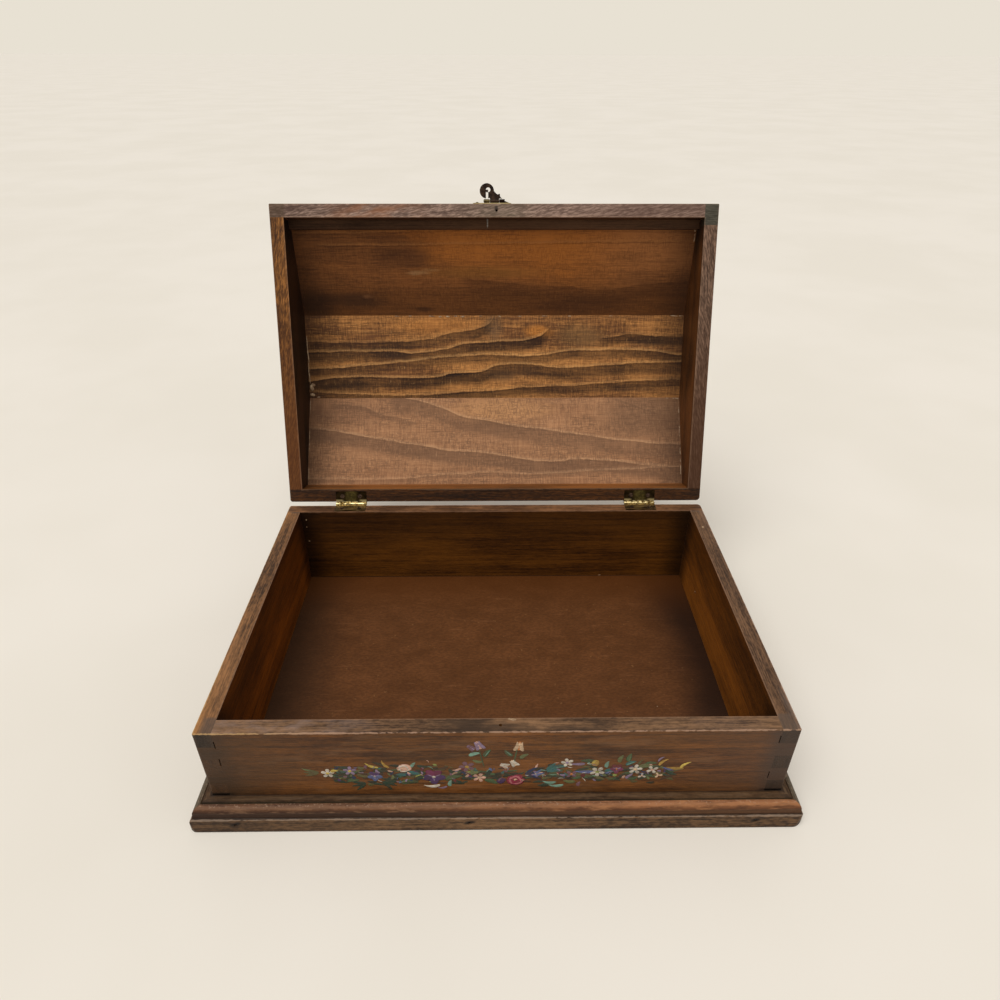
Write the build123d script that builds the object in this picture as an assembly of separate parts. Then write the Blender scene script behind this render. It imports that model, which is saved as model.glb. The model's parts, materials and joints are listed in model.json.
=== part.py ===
from build123d import *
import math
import os

# Box body, outside sizes over the walls
box_width = 340.0
box_depth = 231.0
rim_height = 71.0
bottom_thickness = 4.0
side_wall_thickness = 10.5
front_wall_thickness = 9.8
back_wall_thickness = 9.8
wall_finger_count = 6
front_corner_radius = 0.8
back_left_corner_radius = 2.0
back_right_corner_radius = 3.0
arris_radius = 0.6

# Plinth moulding round the foot
plinth_projection = 13.5
plinth_height = 16.4
plinth_ledge_width = 4.8
plinth_quirk_width = 0.8
plinth_quirk_depth = 1.0
ovolo_drop = 0.4
ovolo_projection = 9.8
ovolo_foot_height = 12.0
ovolo_bulge = 1.15
plinth_fillet_projection = 10.2
plinth_foot_top_projection = 11.5
plinth_foot_height = 8.4
plinth_foot_top_fall = 0.3
plinth_lip_chamfer = 0.35
plinth_foot_radius = 0.6
plinth_corner_radius = 6.0
plinth_worn_corner_radius = 9.0

# Lid, measured from the plane of its rim
lid_wall_height = 18.0
lid_crown_height = 44.0
lid_crown_width = 69.0
plank_thickness = 7.0
lid_front_thickness = 9.7
lid_back_thickness = 10.6
lid_end_thickness = 10.5
lid_finger_height = 9.0
lid_end_arris_radius = 1.2
corner_block_length = 15.2
lid_strip_width = 6.6
lid_strip_depth = 13.5
lid_open_angle = 109.0

# Butt hinges
hinge_end_margin = 50.5
hinge_width = 25.0
hinge_leaf_depth = 8.8
hinge_leaf_thickness = 0.75
hinge_knuckle_radius = 1.4
hinge_pin_radius = 0.7
hinge_back_clearance = 0.3
hinge_leaf_recess = 0.4
hinge_leaf_gap = 0.1
hinge_knuckle_gap = 0.2
hinge_mortise_clearance = 0.15
hinge_running_clearance = 0.05
hinge_pin_overhang = 0.3
hinge_screw_spacing = 14.3
hinge_screw_inset = 4.8
hinge_screw_length = 8.0
hinge_screw_head_radius = 1.8
hinge_screw_head_depth = 0.6
hinge_screw_shank_radius = 0.9
hinge_stop_tab_half_height = 0.4
hinge_stop_clearance = 0.08

# Latch on the lid's front, x measured from the middle of the box
latch_plate_left = -16.5
latch_plate_right = 12.5
latch_plate_low = 1.2
latch_plate_high = 13.6
latch_plate_thickness = 0.7
latch_plate_corner = 2.0
latch_axis_height = 2.8
latch_knuckle_radius = 1.3
latch_pin_radius = 0.55
latch_back_clearance = 0.25
latch_knuckle_left = -8.2
hasp_knuckle_left = -3.8
hasp_knuckle_right = 3.6
latch_knuckle_right = 7.6
latch_knuckle_gap = 0.2
latch_running_clearance = 0.05
latch_ear_length = 3.9
latch_ear_thickness = 1.0
hasp_thickness = 0.9
hasp_ring_x = -5.9
hasp_ring_rise = 7.1
hasp_ring_radius = 5.35
hasp_eye_radius = 1.7
hasp_eye_offset = (1.0, 0.8)
hasp_curl_radius = 0.95
hasp_slot_width = 1.7
latch_nail_head_radius = 1.5
latch_nail_head_height = 1.1
latch_nail_shank_radius = 0.6
latch_nail_length = 8.5
latch_nail_inset = 3.2
latch_long_nail_x = -5.6
latch_long_nail_height = 9.4
latch_long_nail_length = 17.0

# Brads
brad_shank_radius = 0.55
brad_head_radius = 0.95
brad_head_depth = 0.6
brad_set_depth = 0.3
brad_hole_clearance = 0.02
plinth_brad_length = 18.0
plinth_brad_height = 5.3
plinth_brad_left_margin = 15.0
plinth_brad_right_margin = 17.0
plinth_brad_middle_shift = -17.0
plank_brad_length = 16.0
plank_brad_pitch = 38.0
plank_wall_brad_margin = 60.0
panel_brad_length = 14.0
panel_brad_margin = 32.0

# Locating pin holes, empty, in both front rims
pin_hole_x = 1.4
pin_hole_radius = 0.9
pin_hole_depth = 6.0

# Open glue gaps at the finger shoulders of the front corners, and the chip just above the plinth
glue_gap_width = 0.6
glue_gap_length = 6.2
glue_gap_depth = 2.5
left_glue_gap_drops = (12.6, 27.6)
right_glue_gap_drops = (11.2, 42.8)
corner_chip_height = 1.1
corner_chip_depth = 2.2

# Derived lines of the body
half_width = box_width / 2
half_depth = box_depth / 2
wall_height = rim_height - bottom_thickness
finger_height = wall_height / wall_finger_count

# Derived lines of the hinge: its axis lies behind the back wall, midway between the closed rims
hinge_leaf_proud = hinge_leaf_thickness - hinge_leaf_recess
rim_gap = 2 * hinge_leaf_proud + hinge_leaf_gap
hinge_axis_y = half_depth + hinge_knuckle_radius + hinge_back_clearance
hinge_axis_z = rim_height + rim_gap / 2
lid_rim_z = rim_height + rim_gap
hinge_axis = Axis((0, hinge_axis_y, hinge_axis_z), (1, 0, 0))

# Derived lines of the crown: each slope plank rises from its lid wall's inner face to the top plank
front_run = half_depth - lid_front_thickness - lid_crown_width / 2
back_run = half_depth - lid_back_thickness - lid_crown_width / 2
crown_rise = lid_crown_height - lid_wall_height
front_slope = math.atan2(crown_rise, front_run)
back_slope = math.atan2(crown_rise, back_run)
front_eave = lid_wall_height - lid_front_thickness * math.tan(front_slope)
back_eave = lid_wall_height - lid_back_thickness * math.tan(back_slope)


def block(x0, x1, y0, y1, z0, z1):
    size = Box(x1 - x0, y1 - y0, z1 - z0, align=(Align.MIN, Align.MIN, Align.MIN))
    return Pos(x0, y0, z0) * size


def plan_outline():
    """Plan of the walls: front corners nearly sharp, back corners worn round."""
    plan = Rectangle(box_width, box_depth)
    left, right = plan.vertices().sort_by(Axis.Y)[2:].sort_by(Axis.X)
    plan = fillet(left, back_left_corner_radius)
    right = plan.vertices().sort_by(Axis.Y)[-4:].sort_by(Axis.X)[-1]
    plan = fillet(right, back_right_corner_radius)
    front = plan.vertices().sort_by(Axis.Y)[:2]
    return fillet(front, front_corner_radius)


def base_envelope():
    """Outer form of the base walls, with the rim's outer arris eased."""
    body = extrude(Pos(0, 0, bottom_thickness) * plan_outline(), wall_height)
    return fillet(body.faces().sort_by(Axis.Z)[-1].edges(), arris_radius)


def lid_profile():
    """Outer cross-section of the closed lid, as y and height above its rim."""
    front_lip = front_eave + plank_thickness / math.cos(front_slope)
    back_lip = back_eave + plank_thickness / math.cos(back_slope)
    top = lid_crown_height + plank_thickness
    front_turn = -lid_crown_width / 2 - plank_thickness * math.tan(front_slope / 2)
    back_turn = lid_crown_width / 2 + plank_thickness * math.tan(back_slope / 2)
    return [
        (-half_depth, 0),
        (half_depth, 0),
        (half_depth, back_lip),
        (back_turn, top),
        (front_turn, top),
        (-half_depth, front_lip),
    ]


def across(points, x0, x1):
    """Solid with the given outline in y and height above the lid's rim, from x0 to x1."""
    outline = Plane.YZ * make_face(Polyline(*points, close=True))
    return Pos(x0, 0, lid_rim_z) * extrude(outline, x1 - x0)


def lid_envelope():
    """Outer form of the closed lid, with its rim and end arrises eased."""
    form = across(lid_profile(), -half_width, half_width)
    eaves = lid_rim_z + max(front_eave, back_eave)
    ends = form.faces().filter_by(Axis.X)
    crown_arrises = [edge for face in ends for edge in face.edges() if edge.center().Z > eaves]
    form = fillet(crown_arrises, lid_end_arris_radius)
    form = form & extrude(Pos(0, 0, lid_rim_z) * plan_outline(), lid_crown_height + plank_thickness)
    rim = form.faces().sort_by(Axis.Z)[0].edges()
    return fillet(rim, arris_radius)


def opened(shape):
    """A closed lid piece, turned back to the resting open pose."""
    return shape.rotate(hinge_axis, -lid_open_angle)


def one_solid(shape):
    """The shape as a single solid."""
    return shape.solids().sort_by(SortBy.VOLUME)[-1]


# Brads and pins: each has a tool that cuts its hole a little larger
def brad(point, direction, length):
    spot = Plane(origin=point, z_dir=direction) * Pos(0, 0, brad_set_depth)
    head = spot * Cylinder(brad_head_radius, brad_head_depth, align=(Align.CENTER, Align.CENTER, Align.MIN))
    shank = spot * Cylinder(brad_shank_radius, length, align=(Align.CENTER, Align.CENTER, Align.MIN))
    return head + shank


def brad_hole(point, direction, length):
    spot = Plane(origin=point, z_dir=direction)
    mouth = brad_set_depth + brad_head_depth + brad_hole_clearance
    head = Cylinder(
        brad_head_radius + brad_hole_clearance,
        2 * mouth,
    )
    shank = Cylinder(
        brad_shank_radius + brad_hole_clearance,
        length + brad_set_depth + brad_hole_clearance,
        align=(Align.CENTER, Align.CENTER, Align.MIN),
    )
    return spot * head + spot * shank


# Base walls, finger-jointed: at the front corners the side boards have the top finger,
# and at the back corners the back board has it
def base_finger(index, side, end):
    """The room of one finger, counted down from the rim, at one corner."""
    thickness = front_wall_thickness if end < 0 else back_wall_thickness
    top = rim_height - index * finger_height
    x0, x1 = sorted((side * half_width, side * (half_width - side_wall_thickness)))
    y0, y1 = sorted((end * half_depth, end * (half_depth - thickness)))
    return block(x0, x1, y0, y1, top - finger_height, top)


def side_board_has(index, end):
    return (index % 2 == 0) if end < 0 else (index % 2 == 1)


def base_end_board(end):
    thickness = front_wall_thickness if end < 0 else back_wall_thickness
    y0, y1 = sorted((end * half_depth, end * (half_depth - thickness)))
    board = block(-half_width, half_width, y0, y1, bottom_thickness, rim_height)
    for side in (-1, 1):
        for index in range(wall_finger_count):
            if side_board_has(index, end):
                board -= base_finger(index, side, end)
    return board & base_envelope()


def base_side_board(side):
    x0, x1 = sorted((side * half_width, side * (half_width - side_wall_thickness)))
    board = block(x0, x1, -half_depth, half_depth, bottom_thickness, rim_height)
    for end in (-1, 1):
        for index in range(wall_finger_count):
            if not side_board_has(index, end):
                board -= base_finger(index, side, end)
    return board & base_envelope()


def glue_gap(side, drop):
    """Open gap in the front wall at the shoulder line of a corner, its foot this far below the rim."""
    edge = side * (half_width - side_wall_thickness)
    x0, x1 = sorted((edge, edge - side * glue_gap_width))
    low = rim_height - drop
    return block(x0, x1, -half_depth, -half_depth + glue_gap_depth, low, low + glue_gap_length)


def corner_chip(side):
    """Chipped foot of a side board's front end, just above the plinth."""
    x0, x1 = sorted((side * half_width, side * (half_width - side_wall_thickness)))
    low = plinth_height - corner_chip_height / 2
    return block(x0, x1, -half_depth, -half_depth + corner_chip_depth, low, low + 1.5 * corner_chip_height)


def pin_hole(z, direction):
    """Blind hole for the lost locating pin, from the rim plane at height z."""
    spot = Plane(origin=(pin_hole_x, -half_depth + front_wall_thickness / 2, z), z_dir=(0, 0, direction))
    return spot * Cylinder(pin_hole_radius, 2 * pin_hole_depth)


# Plinth mouldings
def plinth_profile():
    """Section of the moulding: distance out from the wall, and height."""
    out, foot, lip = plinth_projection, plinth_foot_radius, plinth_lip_chamfer
    foot_top = (plinth_foot_top_projection, plinth_foot_height - lip)
    lip_top = (plinth_foot_top_projection - lip, plinth_foot_height)
    fillet_foot = (plinth_fillet_projection, plinth_foot_height + plinth_foot_top_fall)
    ovolo_foot = (ovolo_projection, ovolo_foot_height)
    ovolo_head = (plinth_ledge_width + plinth_quirk_width, plinth_height - ovolo_drop)
    quirk = (plinth_ledge_width + plinth_quirk_width / 3, plinth_height - plinth_quirk_depth)
    chord = math.dist(ovolo_foot, ovolo_head)
    middle = [(a + b) / 2 for a, b in zip(ovolo_foot, ovolo_head)]
    outward = (
        (ovolo_head[1] - ovolo_foot[1]) / chord,
        (ovolo_foot[0] - ovolo_head[0]) / chord,
    )
    crest = (middle[0] + ovolo_bulge * outward[0], middle[1] + ovolo_bulge * outward[1])
    path = [
        Line((0, 0), (out - foot, 0)),
        RadiusArc((out - foot, 0), (out, foot), -foot),
        Line((out, foot), foot_top),
        Line(foot_top, lip_top),
        Line(lip_top, fillet_foot),
        Line(fillet_foot, ovolo_foot),
        ThreePointArc(ovolo_foot, crest, ovolo_head),
        Line(ovolo_head, quirk),
        Line(quirk, (plinth_ledge_width, plinth_height)),
        Line((plinth_ledge_width, plinth_height), (0, plinth_height)),
        Line((0, plinth_height), (0, 0)),
    ]
    return make_face(path)


def plinth_outline():
    """Plan of the plinth, its corners rounded and the front right one worn more."""
    plan = Rectangle(box_width + 2 * plinth_projection, box_depth + 2 * plinth_projection)
    front_right = plan.vertices().sort_by(Axis.Y)[:2].sort_by(Axis.X)[-1]
    plan = fillet(front_right, plinth_worn_corner_radius)
    others = [v for v in plan.vertices() if v.X < 0 or v.Y > 0]
    return extrude(fillet(others, plinth_corner_radius), plinth_height)


def plinth_face_at(height):
    """How far out from the wall the sloping foot of the moulding is at a height."""
    rise = plinth_foot_height - plinth_lip_chamfer - plinth_foot_radius
    share = (height - plinth_foot_radius) / rise
    return plinth_projection + share * (plinth_foot_top_projection - plinth_projection)


def plinth_run(outward):
    """One mitred length of the moulding, on the side that the outward vector points to."""
    along_x = outward[0] == 0
    half_run = (half_width if along_x else half_depth) + plinth_projection
    reach = half_depth if along_x else half_width
    origin = (outward[0] * reach, outward[1] * reach, 0)
    run_direction = Vector(*outward, 0).cross(Vector(0, 0, 1))
    section = Plane(origin=origin, x_dir=(*outward, 0), z_dir=run_direction) * plinth_profile()
    run = extrude(section, half_run, both=True)
    corners = []
    for sign, reach_out in ((-1, 0), (1, 0), (1, plinth_projection), (-1, plinth_projection)):
        along = (half_width if along_x else half_depth) + reach_out
        away = reach + reach_out
        x = sign * along if along_x else outward[0] * away
        y = outward[1] * away if along_x else sign * along
        corners.append((x, y))
    mitre = extrude(make_face(Polyline(*corners, close=True)), plinth_height)
    return run & mitre & plinth_outline()


def plinth_brad_spots(outward):
    """Places and directions of the brads in one moulding."""
    face = (half_depth if outward[0] == 0 else half_width) + plinth_face_at(plinth_brad_height)
    half_run = half_width if outward[0] == 0 else half_depth
    spots = [-half_run + plinth_brad_left_margin, half_run - plinth_brad_right_margin]
    if outward[0] == 0:
        spots.insert(1, plinth_brad_middle_shift)
    places = []
    for along in spots:
        x = along if outward[0] == 0 else outward[0] * face
        y = outward[1] * face if outward[0] == 0 else along
        places.append(((x, y, plinth_brad_height), (-outward[0], -outward[1], 0)))
    return places


def panel_brad_spots():
    """Places of the brads up through the bottom panel, along the middle of each wall."""
    places = []
    for y in (-half_depth + front_wall_thickness / 2, half_depth - back_wall_thickness / 2):
        reach = half_width - panel_brad_margin
        for x in (-reach, -reach / 3, reach / 3, reach):
            places.append(((x, y, 0), (0, 0, 1)))
    for side in (-1, 1):
        for end in (-1, 1):
            x = side * (half_width - side_wall_thickness / 2)
            places.append(((x, end * (half_depth - panel_brad_margin), 0), (0, 0, 1)))
    return places


# Lid boards, made closed
def lid_corner_room(side, end, low, high, length):
    """The room of a finger or block at one lid corner, between two heights above the rim."""
    x0, x1 = sorted((side * half_width, side * (half_width - lid_end_thickness)))
    y0, y1 = sorted((end * half_depth, end * (half_depth - length)))
    return block(x0, x1, y0, y1, lid_rim_z + low, lid_rim_z + high)


def lid_end_board(end):
    """Front or back board of the lid, bevelled on top to carry its slope plank."""
    thickness = lid_front_thickness if end < 0 else lid_back_thickness
    eave = front_eave if end < 0 else back_eave
    outline = [
        (end * half_depth, 0),
        (end * (half_depth - thickness), 0),
        (end * (half_depth - thickness), lid_wall_height),
        (end * half_depth, eave),
    ]
    board = across(outline, -half_width, half_width)
    for side in (-1, 1):
        if end < 0 and side > 0:
            board -= lid_corner_room(side, end, 0, lid_finger_height, thickness)
        else:
            board -= lid_corner_room(side, end, lid_finger_height, lid_wall_height, thickness)
    return board & lid_envelope()


def lid_gable(side):
    """End board of the lid, cut to the crown, with its corner fingers."""
    outline = [
        (-half_depth, 0),
        (half_depth, 0),
        (half_depth, back_eave),
        (lid_crown_width / 2, lid_crown_height),
        (-lid_crown_width / 2, lid_crown_height),
        (-half_depth, front_eave),
    ]
    x0, x1 = sorted((side * half_width, side * (half_width - lid_end_thickness)))
    board = across(outline, x0, x1)
    board -= lid_corner_room(side, 1, 0, lid_finger_height, lid_back_thickness)
    if side < 0:
        board -= lid_corner_room(side, -1, 0, lid_finger_height, lid_front_thickness)
    else:
        board -= lid_corner_room(side, -1, 0, lid_finger_height, corner_block_length)
        board -= lid_corner_room(side, -1, lid_finger_height, lid_wall_height, lid_front_thickness)
    return board & lid_envelope()


def lid_corner_block():
    room = lid_corner_room(1, -1, 0, lid_finger_height, corner_block_length)
    return room & lid_envelope()


def lid_front_strip():
    """Glued strip in the corner between the lid's front board and its front plank."""
    near = -half_depth + lid_front_thickness
    far = near + lid_strip_width
    outline = [
        (near, lid_strip_depth),
        (far, lid_strip_depth),
        (far, lid_wall_height + lid_strip_width * math.tan(front_slope)),
        (near, lid_wall_height),
    ]
    reach = half_width - lid_end_thickness
    return across(outline, -reach, reach)


def crown_plank(which):
    """One crown plank: front, top or rear, with its long edges bevelled to meet the next."""
    profile = lid_profile()
    top = lid_crown_height + plank_thickness
    if which == "top":
        outline = [
            (-lid_crown_width / 2, lid_crown_height),
            (lid_crown_width / 2, lid_crown_height),
            profile[3],
            (profile[4][0], top),
        ]
    elif which == "front":
        outline = [
            (-half_depth, front_eave),
            (-lid_crown_width / 2, lid_crown_height),
            profile[4],
            profile[5],
        ]
    else:
        outline = [
            (half_depth, back_eave),
            (lid_crown_width / 2, lid_crown_height),
            profile[3],
            profile[2],
        ]
    return across(outline, -half_width, half_width) & lid_envelope()


def plank_brad_spots(which):
    """Brads of one plank: two into each gable, and three into the board below a slope plank."""
    slope = {"front": front_slope, "top": 0.0, "rear": -back_slope}[which]
    top = lid_crown_height + plank_thickness
    normal = (0, -math.sin(slope), math.cos(slope))
    if which == "top":
        middle = (0, top)
        eave = None
    else:
        end = -1 if which == "front" else 1
        profile = lid_profile()
        turn = profile[4] if which == "front" else profile[3]
        lip = profile[5] if which == "front" else profile[2]
        middle = ((turn[0] + lip[0]) / 2, (turn[1] + lip[1]) / 2)
        thickness = lid_front_thickness if which == "front" else lid_back_thickness
        reach = half_depth - thickness / 2 + plank_thickness * abs(math.sin(slope))
        span = half_depth - reach
        eave = (end * reach, lip[1] + span * math.tan(abs(slope)))
    along = (0, math.cos(slope), math.sin(slope))
    direction = tuple(-part for part in normal)
    places = []
    for side in (-1, 1):
        for step in (-0.5, 0.5):
            x = side * (half_width - lid_end_thickness / 2)
            y = middle[0] + step * plank_brad_pitch * along[1]
            z = lid_rim_z + middle[1] + step * plank_brad_pitch * along[2]
            places.append(((x, y, z), direction))
    if eave:
        reach = half_width - plank_wall_brad_margin
        for x in (-reach, 0, reach):
            places.append(((x, eave[0], lid_rim_z + eave[1]), direction))
    return places


# Butt hinges, made closed
def hinge_screw_spots(centre_x, upward):
    """Places of a leaf's two screws, on its outer face, with the direction they are driven."""
    y = half_depth - hinge_screw_inset
    if upward:
        z = hinge_axis_z + hinge_leaf_gap / 2
    else:
        z = hinge_axis_z - hinge_leaf_gap / 2
    return [
        ((centre_x + step * hinge_screw_spacing / 2, y, z), (0, 0, 1 if upward else -1))
        for step in (-1, 1)
    ]


def hinge_screw(point, direction, slack=0.0):
    """Countersunk wood screw; with slack it is the tool that cuts its hole."""
    spot = Plane(origin=point, z_dir=direction)
    head = Cone(
        hinge_screw_head_radius + slack,
        hinge_screw_shank_radius + slack,
        hinge_screw_head_depth,
        align=(Align.CENTER, Align.CENTER, Align.MIN),
    )
    shank = Cylinder(
        hinge_screw_shank_radius + slack,
        hinge_screw_length + slack,
        align=(Align.CENTER, Align.CENTER, Align.MIN),
    )
    screw = spot * head + spot * shank
    if slack == 0.0:
        slot_width = hinge_screw_head_radius / 4
        slot = Box(2 * hinge_screw_head_radius, slot_width, slot_width)
        screw -= spot * (Rotation(0, 0, 35) * slot)
    return screw


def hinge_barrel(x0, x1, radius):
    spot = Plane(origin=(x0, hinge_axis_y, hinge_axis_z), z_dir=(1, 0, 0))
    return spot * Cylinder(radius, x1 - x0, align=(Align.CENTER, Align.CENTER, Align.MIN))


def knuckle_spans(centre_x):
    """Spans along x of the three knuckles: base leaf, lid leaf, base leaf."""
    pitch = hinge_width / 3
    start = centre_x - hinge_width / 2
    gap = hinge_knuckle_gap / 2
    return [
        (start, start + pitch - gap),
        (start + pitch + gap, start + 2 * pitch - gap),
        (start + 2 * pitch + gap, start + hinge_width),
    ]


def leaf_heights(upward):
    near = hinge_leaf_gap / 2
    far = near + hinge_leaf_thickness
    if upward:
        return hinge_axis_z + near, hinge_axis_z + far
    return hinge_axis_z - far, hinge_axis_z - near


def stop_tab_reach():
    """How far behind the axis the open lid's back face passes at the tab's upper edge."""
    angle = math.radians(lid_open_angle)
    back = half_depth - hinge_axis_y
    up = lid_rim_z - hinge_axis_z
    edge_y = back * math.cos(angle) + up * math.sin(angle)
    edge_z = -back * math.sin(angle) + up * math.cos(angle)
    fall = math.cos(angle) / math.sin(angle)
    return edge_y + (hinge_stop_tab_half_height + hinge_stop_clearance - edge_z) / fall


def hinge_leaf(centre_x, upward):
    z0, z1 = leaf_heights(upward)
    x0, x1 = centre_x - hinge_width / 2, centre_x + hinge_width / 2
    leaf = block(x0, x1, half_depth - hinge_leaf_depth, half_depth, z0, z1)
    spans = knuckle_spans(centre_x)
    mine = spans[1:2] if upward else spans[::2]
    for a, b in mine:
        leaf += block(a, b, half_depth - hinge_leaf_thickness, hinge_axis_y, z0, z1)
        leaf += hinge_barrel(a, b, hinge_knuckle_radius)
        if not upward:
            reach = hinge_axis_y + stop_tab_reach()
            half = hinge_stop_tab_half_height
            leaf += block(a, b, hinge_axis_y, reach, hinge_axis_z - half, hinge_axis_z + half)
    slack = hinge_running_clearance if upward else brad_hole_clearance
    leaf -= hinge_barrel(x0 - 1, x1 + 1, hinge_pin_radius + slack)
    for point, direction in hinge_screw_spots(centre_x, upward):
        leaf -= hinge_screw(point, direction, brad_hole_clearance)
    return leaf


def hinge_pin(centre_x):
    reach = hinge_width / 2 + hinge_pin_overhang
    pin = hinge_barrel(centre_x - reach, centre_x + reach, hinge_pin_radius)
    return chamfer(pin.edges().filter_by(GeomType.CIRCLE), hinge_pin_overhang * 0.8)


def hinge_mortise(centre_x, upward):
    """Shallow recess in a rim that a leaf is let into."""
    z0, z1 = leaf_heights(upward)
    slack = hinge_mortise_clearance
    x0, x1 = centre_x - hinge_width / 2 - slack, centre_x + hinge_width / 2 + slack
    return block(x0, x1, half_depth - hinge_leaf_depth - slack, half_depth + 1, z0, z1)


# Latch, made closed: local x along the box, and height above the lid's rim
latch_axis_out = latch_plate_thickness + latch_back_clearance + latch_knuckle_radius
latch_axis_y = -half_depth - latch_axis_out
latch_axis_z = lid_rim_z + latch_axis_height
latch_face_y = -half_depth - latch_plate_thickness


def latch_barrel(x0, x1, radius):
    spot = Plane(origin=(x0, latch_axis_y, latch_axis_z), z_dir=(1, 0, 0))
    return spot * Cylinder(radius, x1 - x0, align=(Align.CENTER, Align.CENTER, Align.MIN))


def latch_nail_spots():
    left = latch_plate_left + latch_nail_inset
    right = latch_plate_right - latch_nail_inset
    high = latch_plate_high - latch_nail_inset
    low = latch_plate_low + latch_nail_inset
    spots = ((left, low), (left, high), (right, high))
    return [((x, latch_face_y, lid_rim_z + z), (0, 1, 0)) for x, z in spots]


def long_nail_spot():
    z = lid_rim_z + latch_long_nail_height
    return (latch_long_nail_x, latch_face_y, z), (0, 1, 0)


def domed_nail(point, direction, length):
    """Nail with a domed head on the plate and a pointed shank."""
    spot = Plane(origin=point, z_dir=direction)
    radius = (latch_nail_head_radius**2 + latch_nail_head_height**2) / (2 * latch_nail_head_height)
    ball = spot * Pos(0, 0, radius - latch_nail_head_height) * Sphere(radius)
    slab = spot * Cylinder(
        latch_nail_head_radius + 1, latch_nail_head_height + 1, align=(Align.CENTER, Align.CENTER, Align.MAX)
    )
    point_length = 3 * latch_nail_shank_radius
    straight = length - point_length
    shank = spot * Cylinder(
        latch_nail_shank_radius, straight, align=(Align.CENTER, Align.CENTER, Align.MIN)
    )
    tip = spot * Pos(0, 0, straight) * Cone(
        latch_nail_shank_radius,
        latch_nail_shank_radius / 5,
        point_length,
        align=(Align.CENTER, Align.CENTER, Align.MIN),
    )
    return (ball & slab) + shank + tip


def nail_hole(point, direction, length):
    radius = latch_nail_shank_radius + brad_hole_clearance
    spot = Plane(origin=point, z_dir=direction)
    return spot * Cylinder(radius, length + brad_hole_clearance, align=(Align.CENTER, Align.CENTER, Align.MIN))


def latch_plate():
    """Plate on the lid's front, its lower edge rolled into two knuckles, with a small ear."""
    width = latch_plate_right - latch_plate_left
    height = latch_plate_high - latch_plate_low
    outline = RectangleRounded(width, height, latch_plate_corner)
    centre_x = (latch_plate_left + latch_plate_right) / 2
    centre_z = lid_rim_z + (latch_plate_low + latch_plate_high) / 2
    spot = Plane(origin=(centre_x, -half_depth, centre_z), x_dir=(1, 0, 0), z_dir=(0, -1, 0))
    plate = spot * extrude(outline, latch_plate_thickness)
    web_top = latch_axis_z + latch_knuckle_radius
    spans = ((latch_knuckle_left, hasp_knuckle_left), (hasp_knuckle_right, latch_knuckle_right))
    for x0, x1 in spans:
        plate += latch_barrel(x0, x1, latch_knuckle_radius)
        web = latch_plate_thickness
        plate += block(x0, x1, latch_axis_y, latch_face_y, web_top - web, web_top)
    ear_low = latch_axis_z - latch_ear_thickness / 2
    ear = Polyline(
        (latch_knuckle_right, latch_face_y),
        (latch_knuckle_right, latch_axis_y),
        (latch_knuckle_right + latch_ear_length, latch_face_y),
        close=True,
    )
    plate += Pos(0, 0, ear_low) * extrude(make_face(ear), latch_ear_thickness)
    bore = latch_pin_radius + brad_hole_clearance
    plate -= latch_barrel(latch_knuckle_left - 1, latch_knuckle_right, bore)
    for point, direction in latch_nail_spots() + [long_nail_spot()]:
        plate -= nail_hole(point, direction, latch_plate_thickness)
    return plate


def hasp_outline():
    """Hooked and scalloped hasp: x along the box, and distance out from the pin's axis."""
    rise = hasp_ring_rise
    ring = Pos(hasp_ring_x, rise) * Circle(hasp_ring_radius)
    low = latch_knuckle_radius + latch_knuckle_gap + latch_back_clearance
    neck = hasp_knuckle_left + latch_knuckle_gap
    far = hasp_knuckle_right - latch_knuckle_gap
    shoulder = hasp_ring_x + hasp_ring_radius * math.cos(math.radians(35))
    shoulder_rise = rise + hasp_ring_radius * math.sin(math.radians(35))
    body = make_face(
        [
            Line((neck, 0), (far, 0)),
            Line((far, 0), (far, low)),
            Line((far, low), (far + 2.4, low)),
            ThreePointArc((far + 2.4, low), (far + 0.9, low + 1.2), (far + 0.6, low + 3.1)),
            ThreePointArc((far + 0.6, low + 3.1), (far - 0.1, low + 3.25), (far - 0.9, low + 2.7)),
            ThreePointArc((far - 0.9, low + 2.7), (far - 3.6, low + 4.9), (shoulder, shoulder_rise)),
            Line((shoulder, shoulder_rise), (hasp_ring_x, rise)),
            Line((hasp_ring_x, rise), (neck, low)),
            Line((neck, low), (neck, 0)),
        ]
    )
    eye_x, eye_rise = hasp_ring_x + hasp_eye_offset[0], rise + hasp_eye_offset[1]
    eye = Pos(eye_x, eye_rise) * Circle(hasp_eye_radius)
    curl = Pos(eye_x - hasp_eye_radius / 2, eye_rise - hasp_eye_radius / 2) * Circle(hasp_curl_radius)
    slot_x = eye_x - hasp_eye_radius / 2
    slot_foot = rise - hasp_ring_radius
    slot = Pos(slot_x, (slot_foot + eye_rise) / 2 - 0.5) * Rectangle(hasp_slot_width, eye_rise - slot_foot)
    return ring + body - (eye - curl) - (slot - curl)


def latch_hasp():
    spot = Plane(origin=(0, latch_axis_y, latch_axis_z), x_dir=(1, 0, 0), z_dir=(0, 0, 1))
    outline = mirror(hasp_outline(), about=Plane.XZ)
    hasp = spot * extrude(outline, hasp_thickness / 2, both=True)
    x0, x1 = hasp_knuckle_left + latch_knuckle_gap, hasp_knuckle_right - latch_knuckle_gap
    hasp += latch_barrel(x0, x1, latch_knuckle_radius)
    hasp -= latch_barrel(x0 - 1, x1 + 1, latch_pin_radius + latch_running_clearance)
    return hasp


def latch_pin():
    return latch_barrel(latch_knuckle_left - hinge_pin_overhang, latch_knuckle_right, latch_pin_radius)


# Put the box together
sides = {"left": -1, "right": 1}
ends = {"front": -1, "back": 1}
outward = {"front": (0, -1), "back": (0, 1), "left": (-1, 0), "right": (1, 0)}
hinge_centres = {name: side * (half_width - hinge_end_margin) for name, side in sides.items()}
nodes = {}

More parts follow.
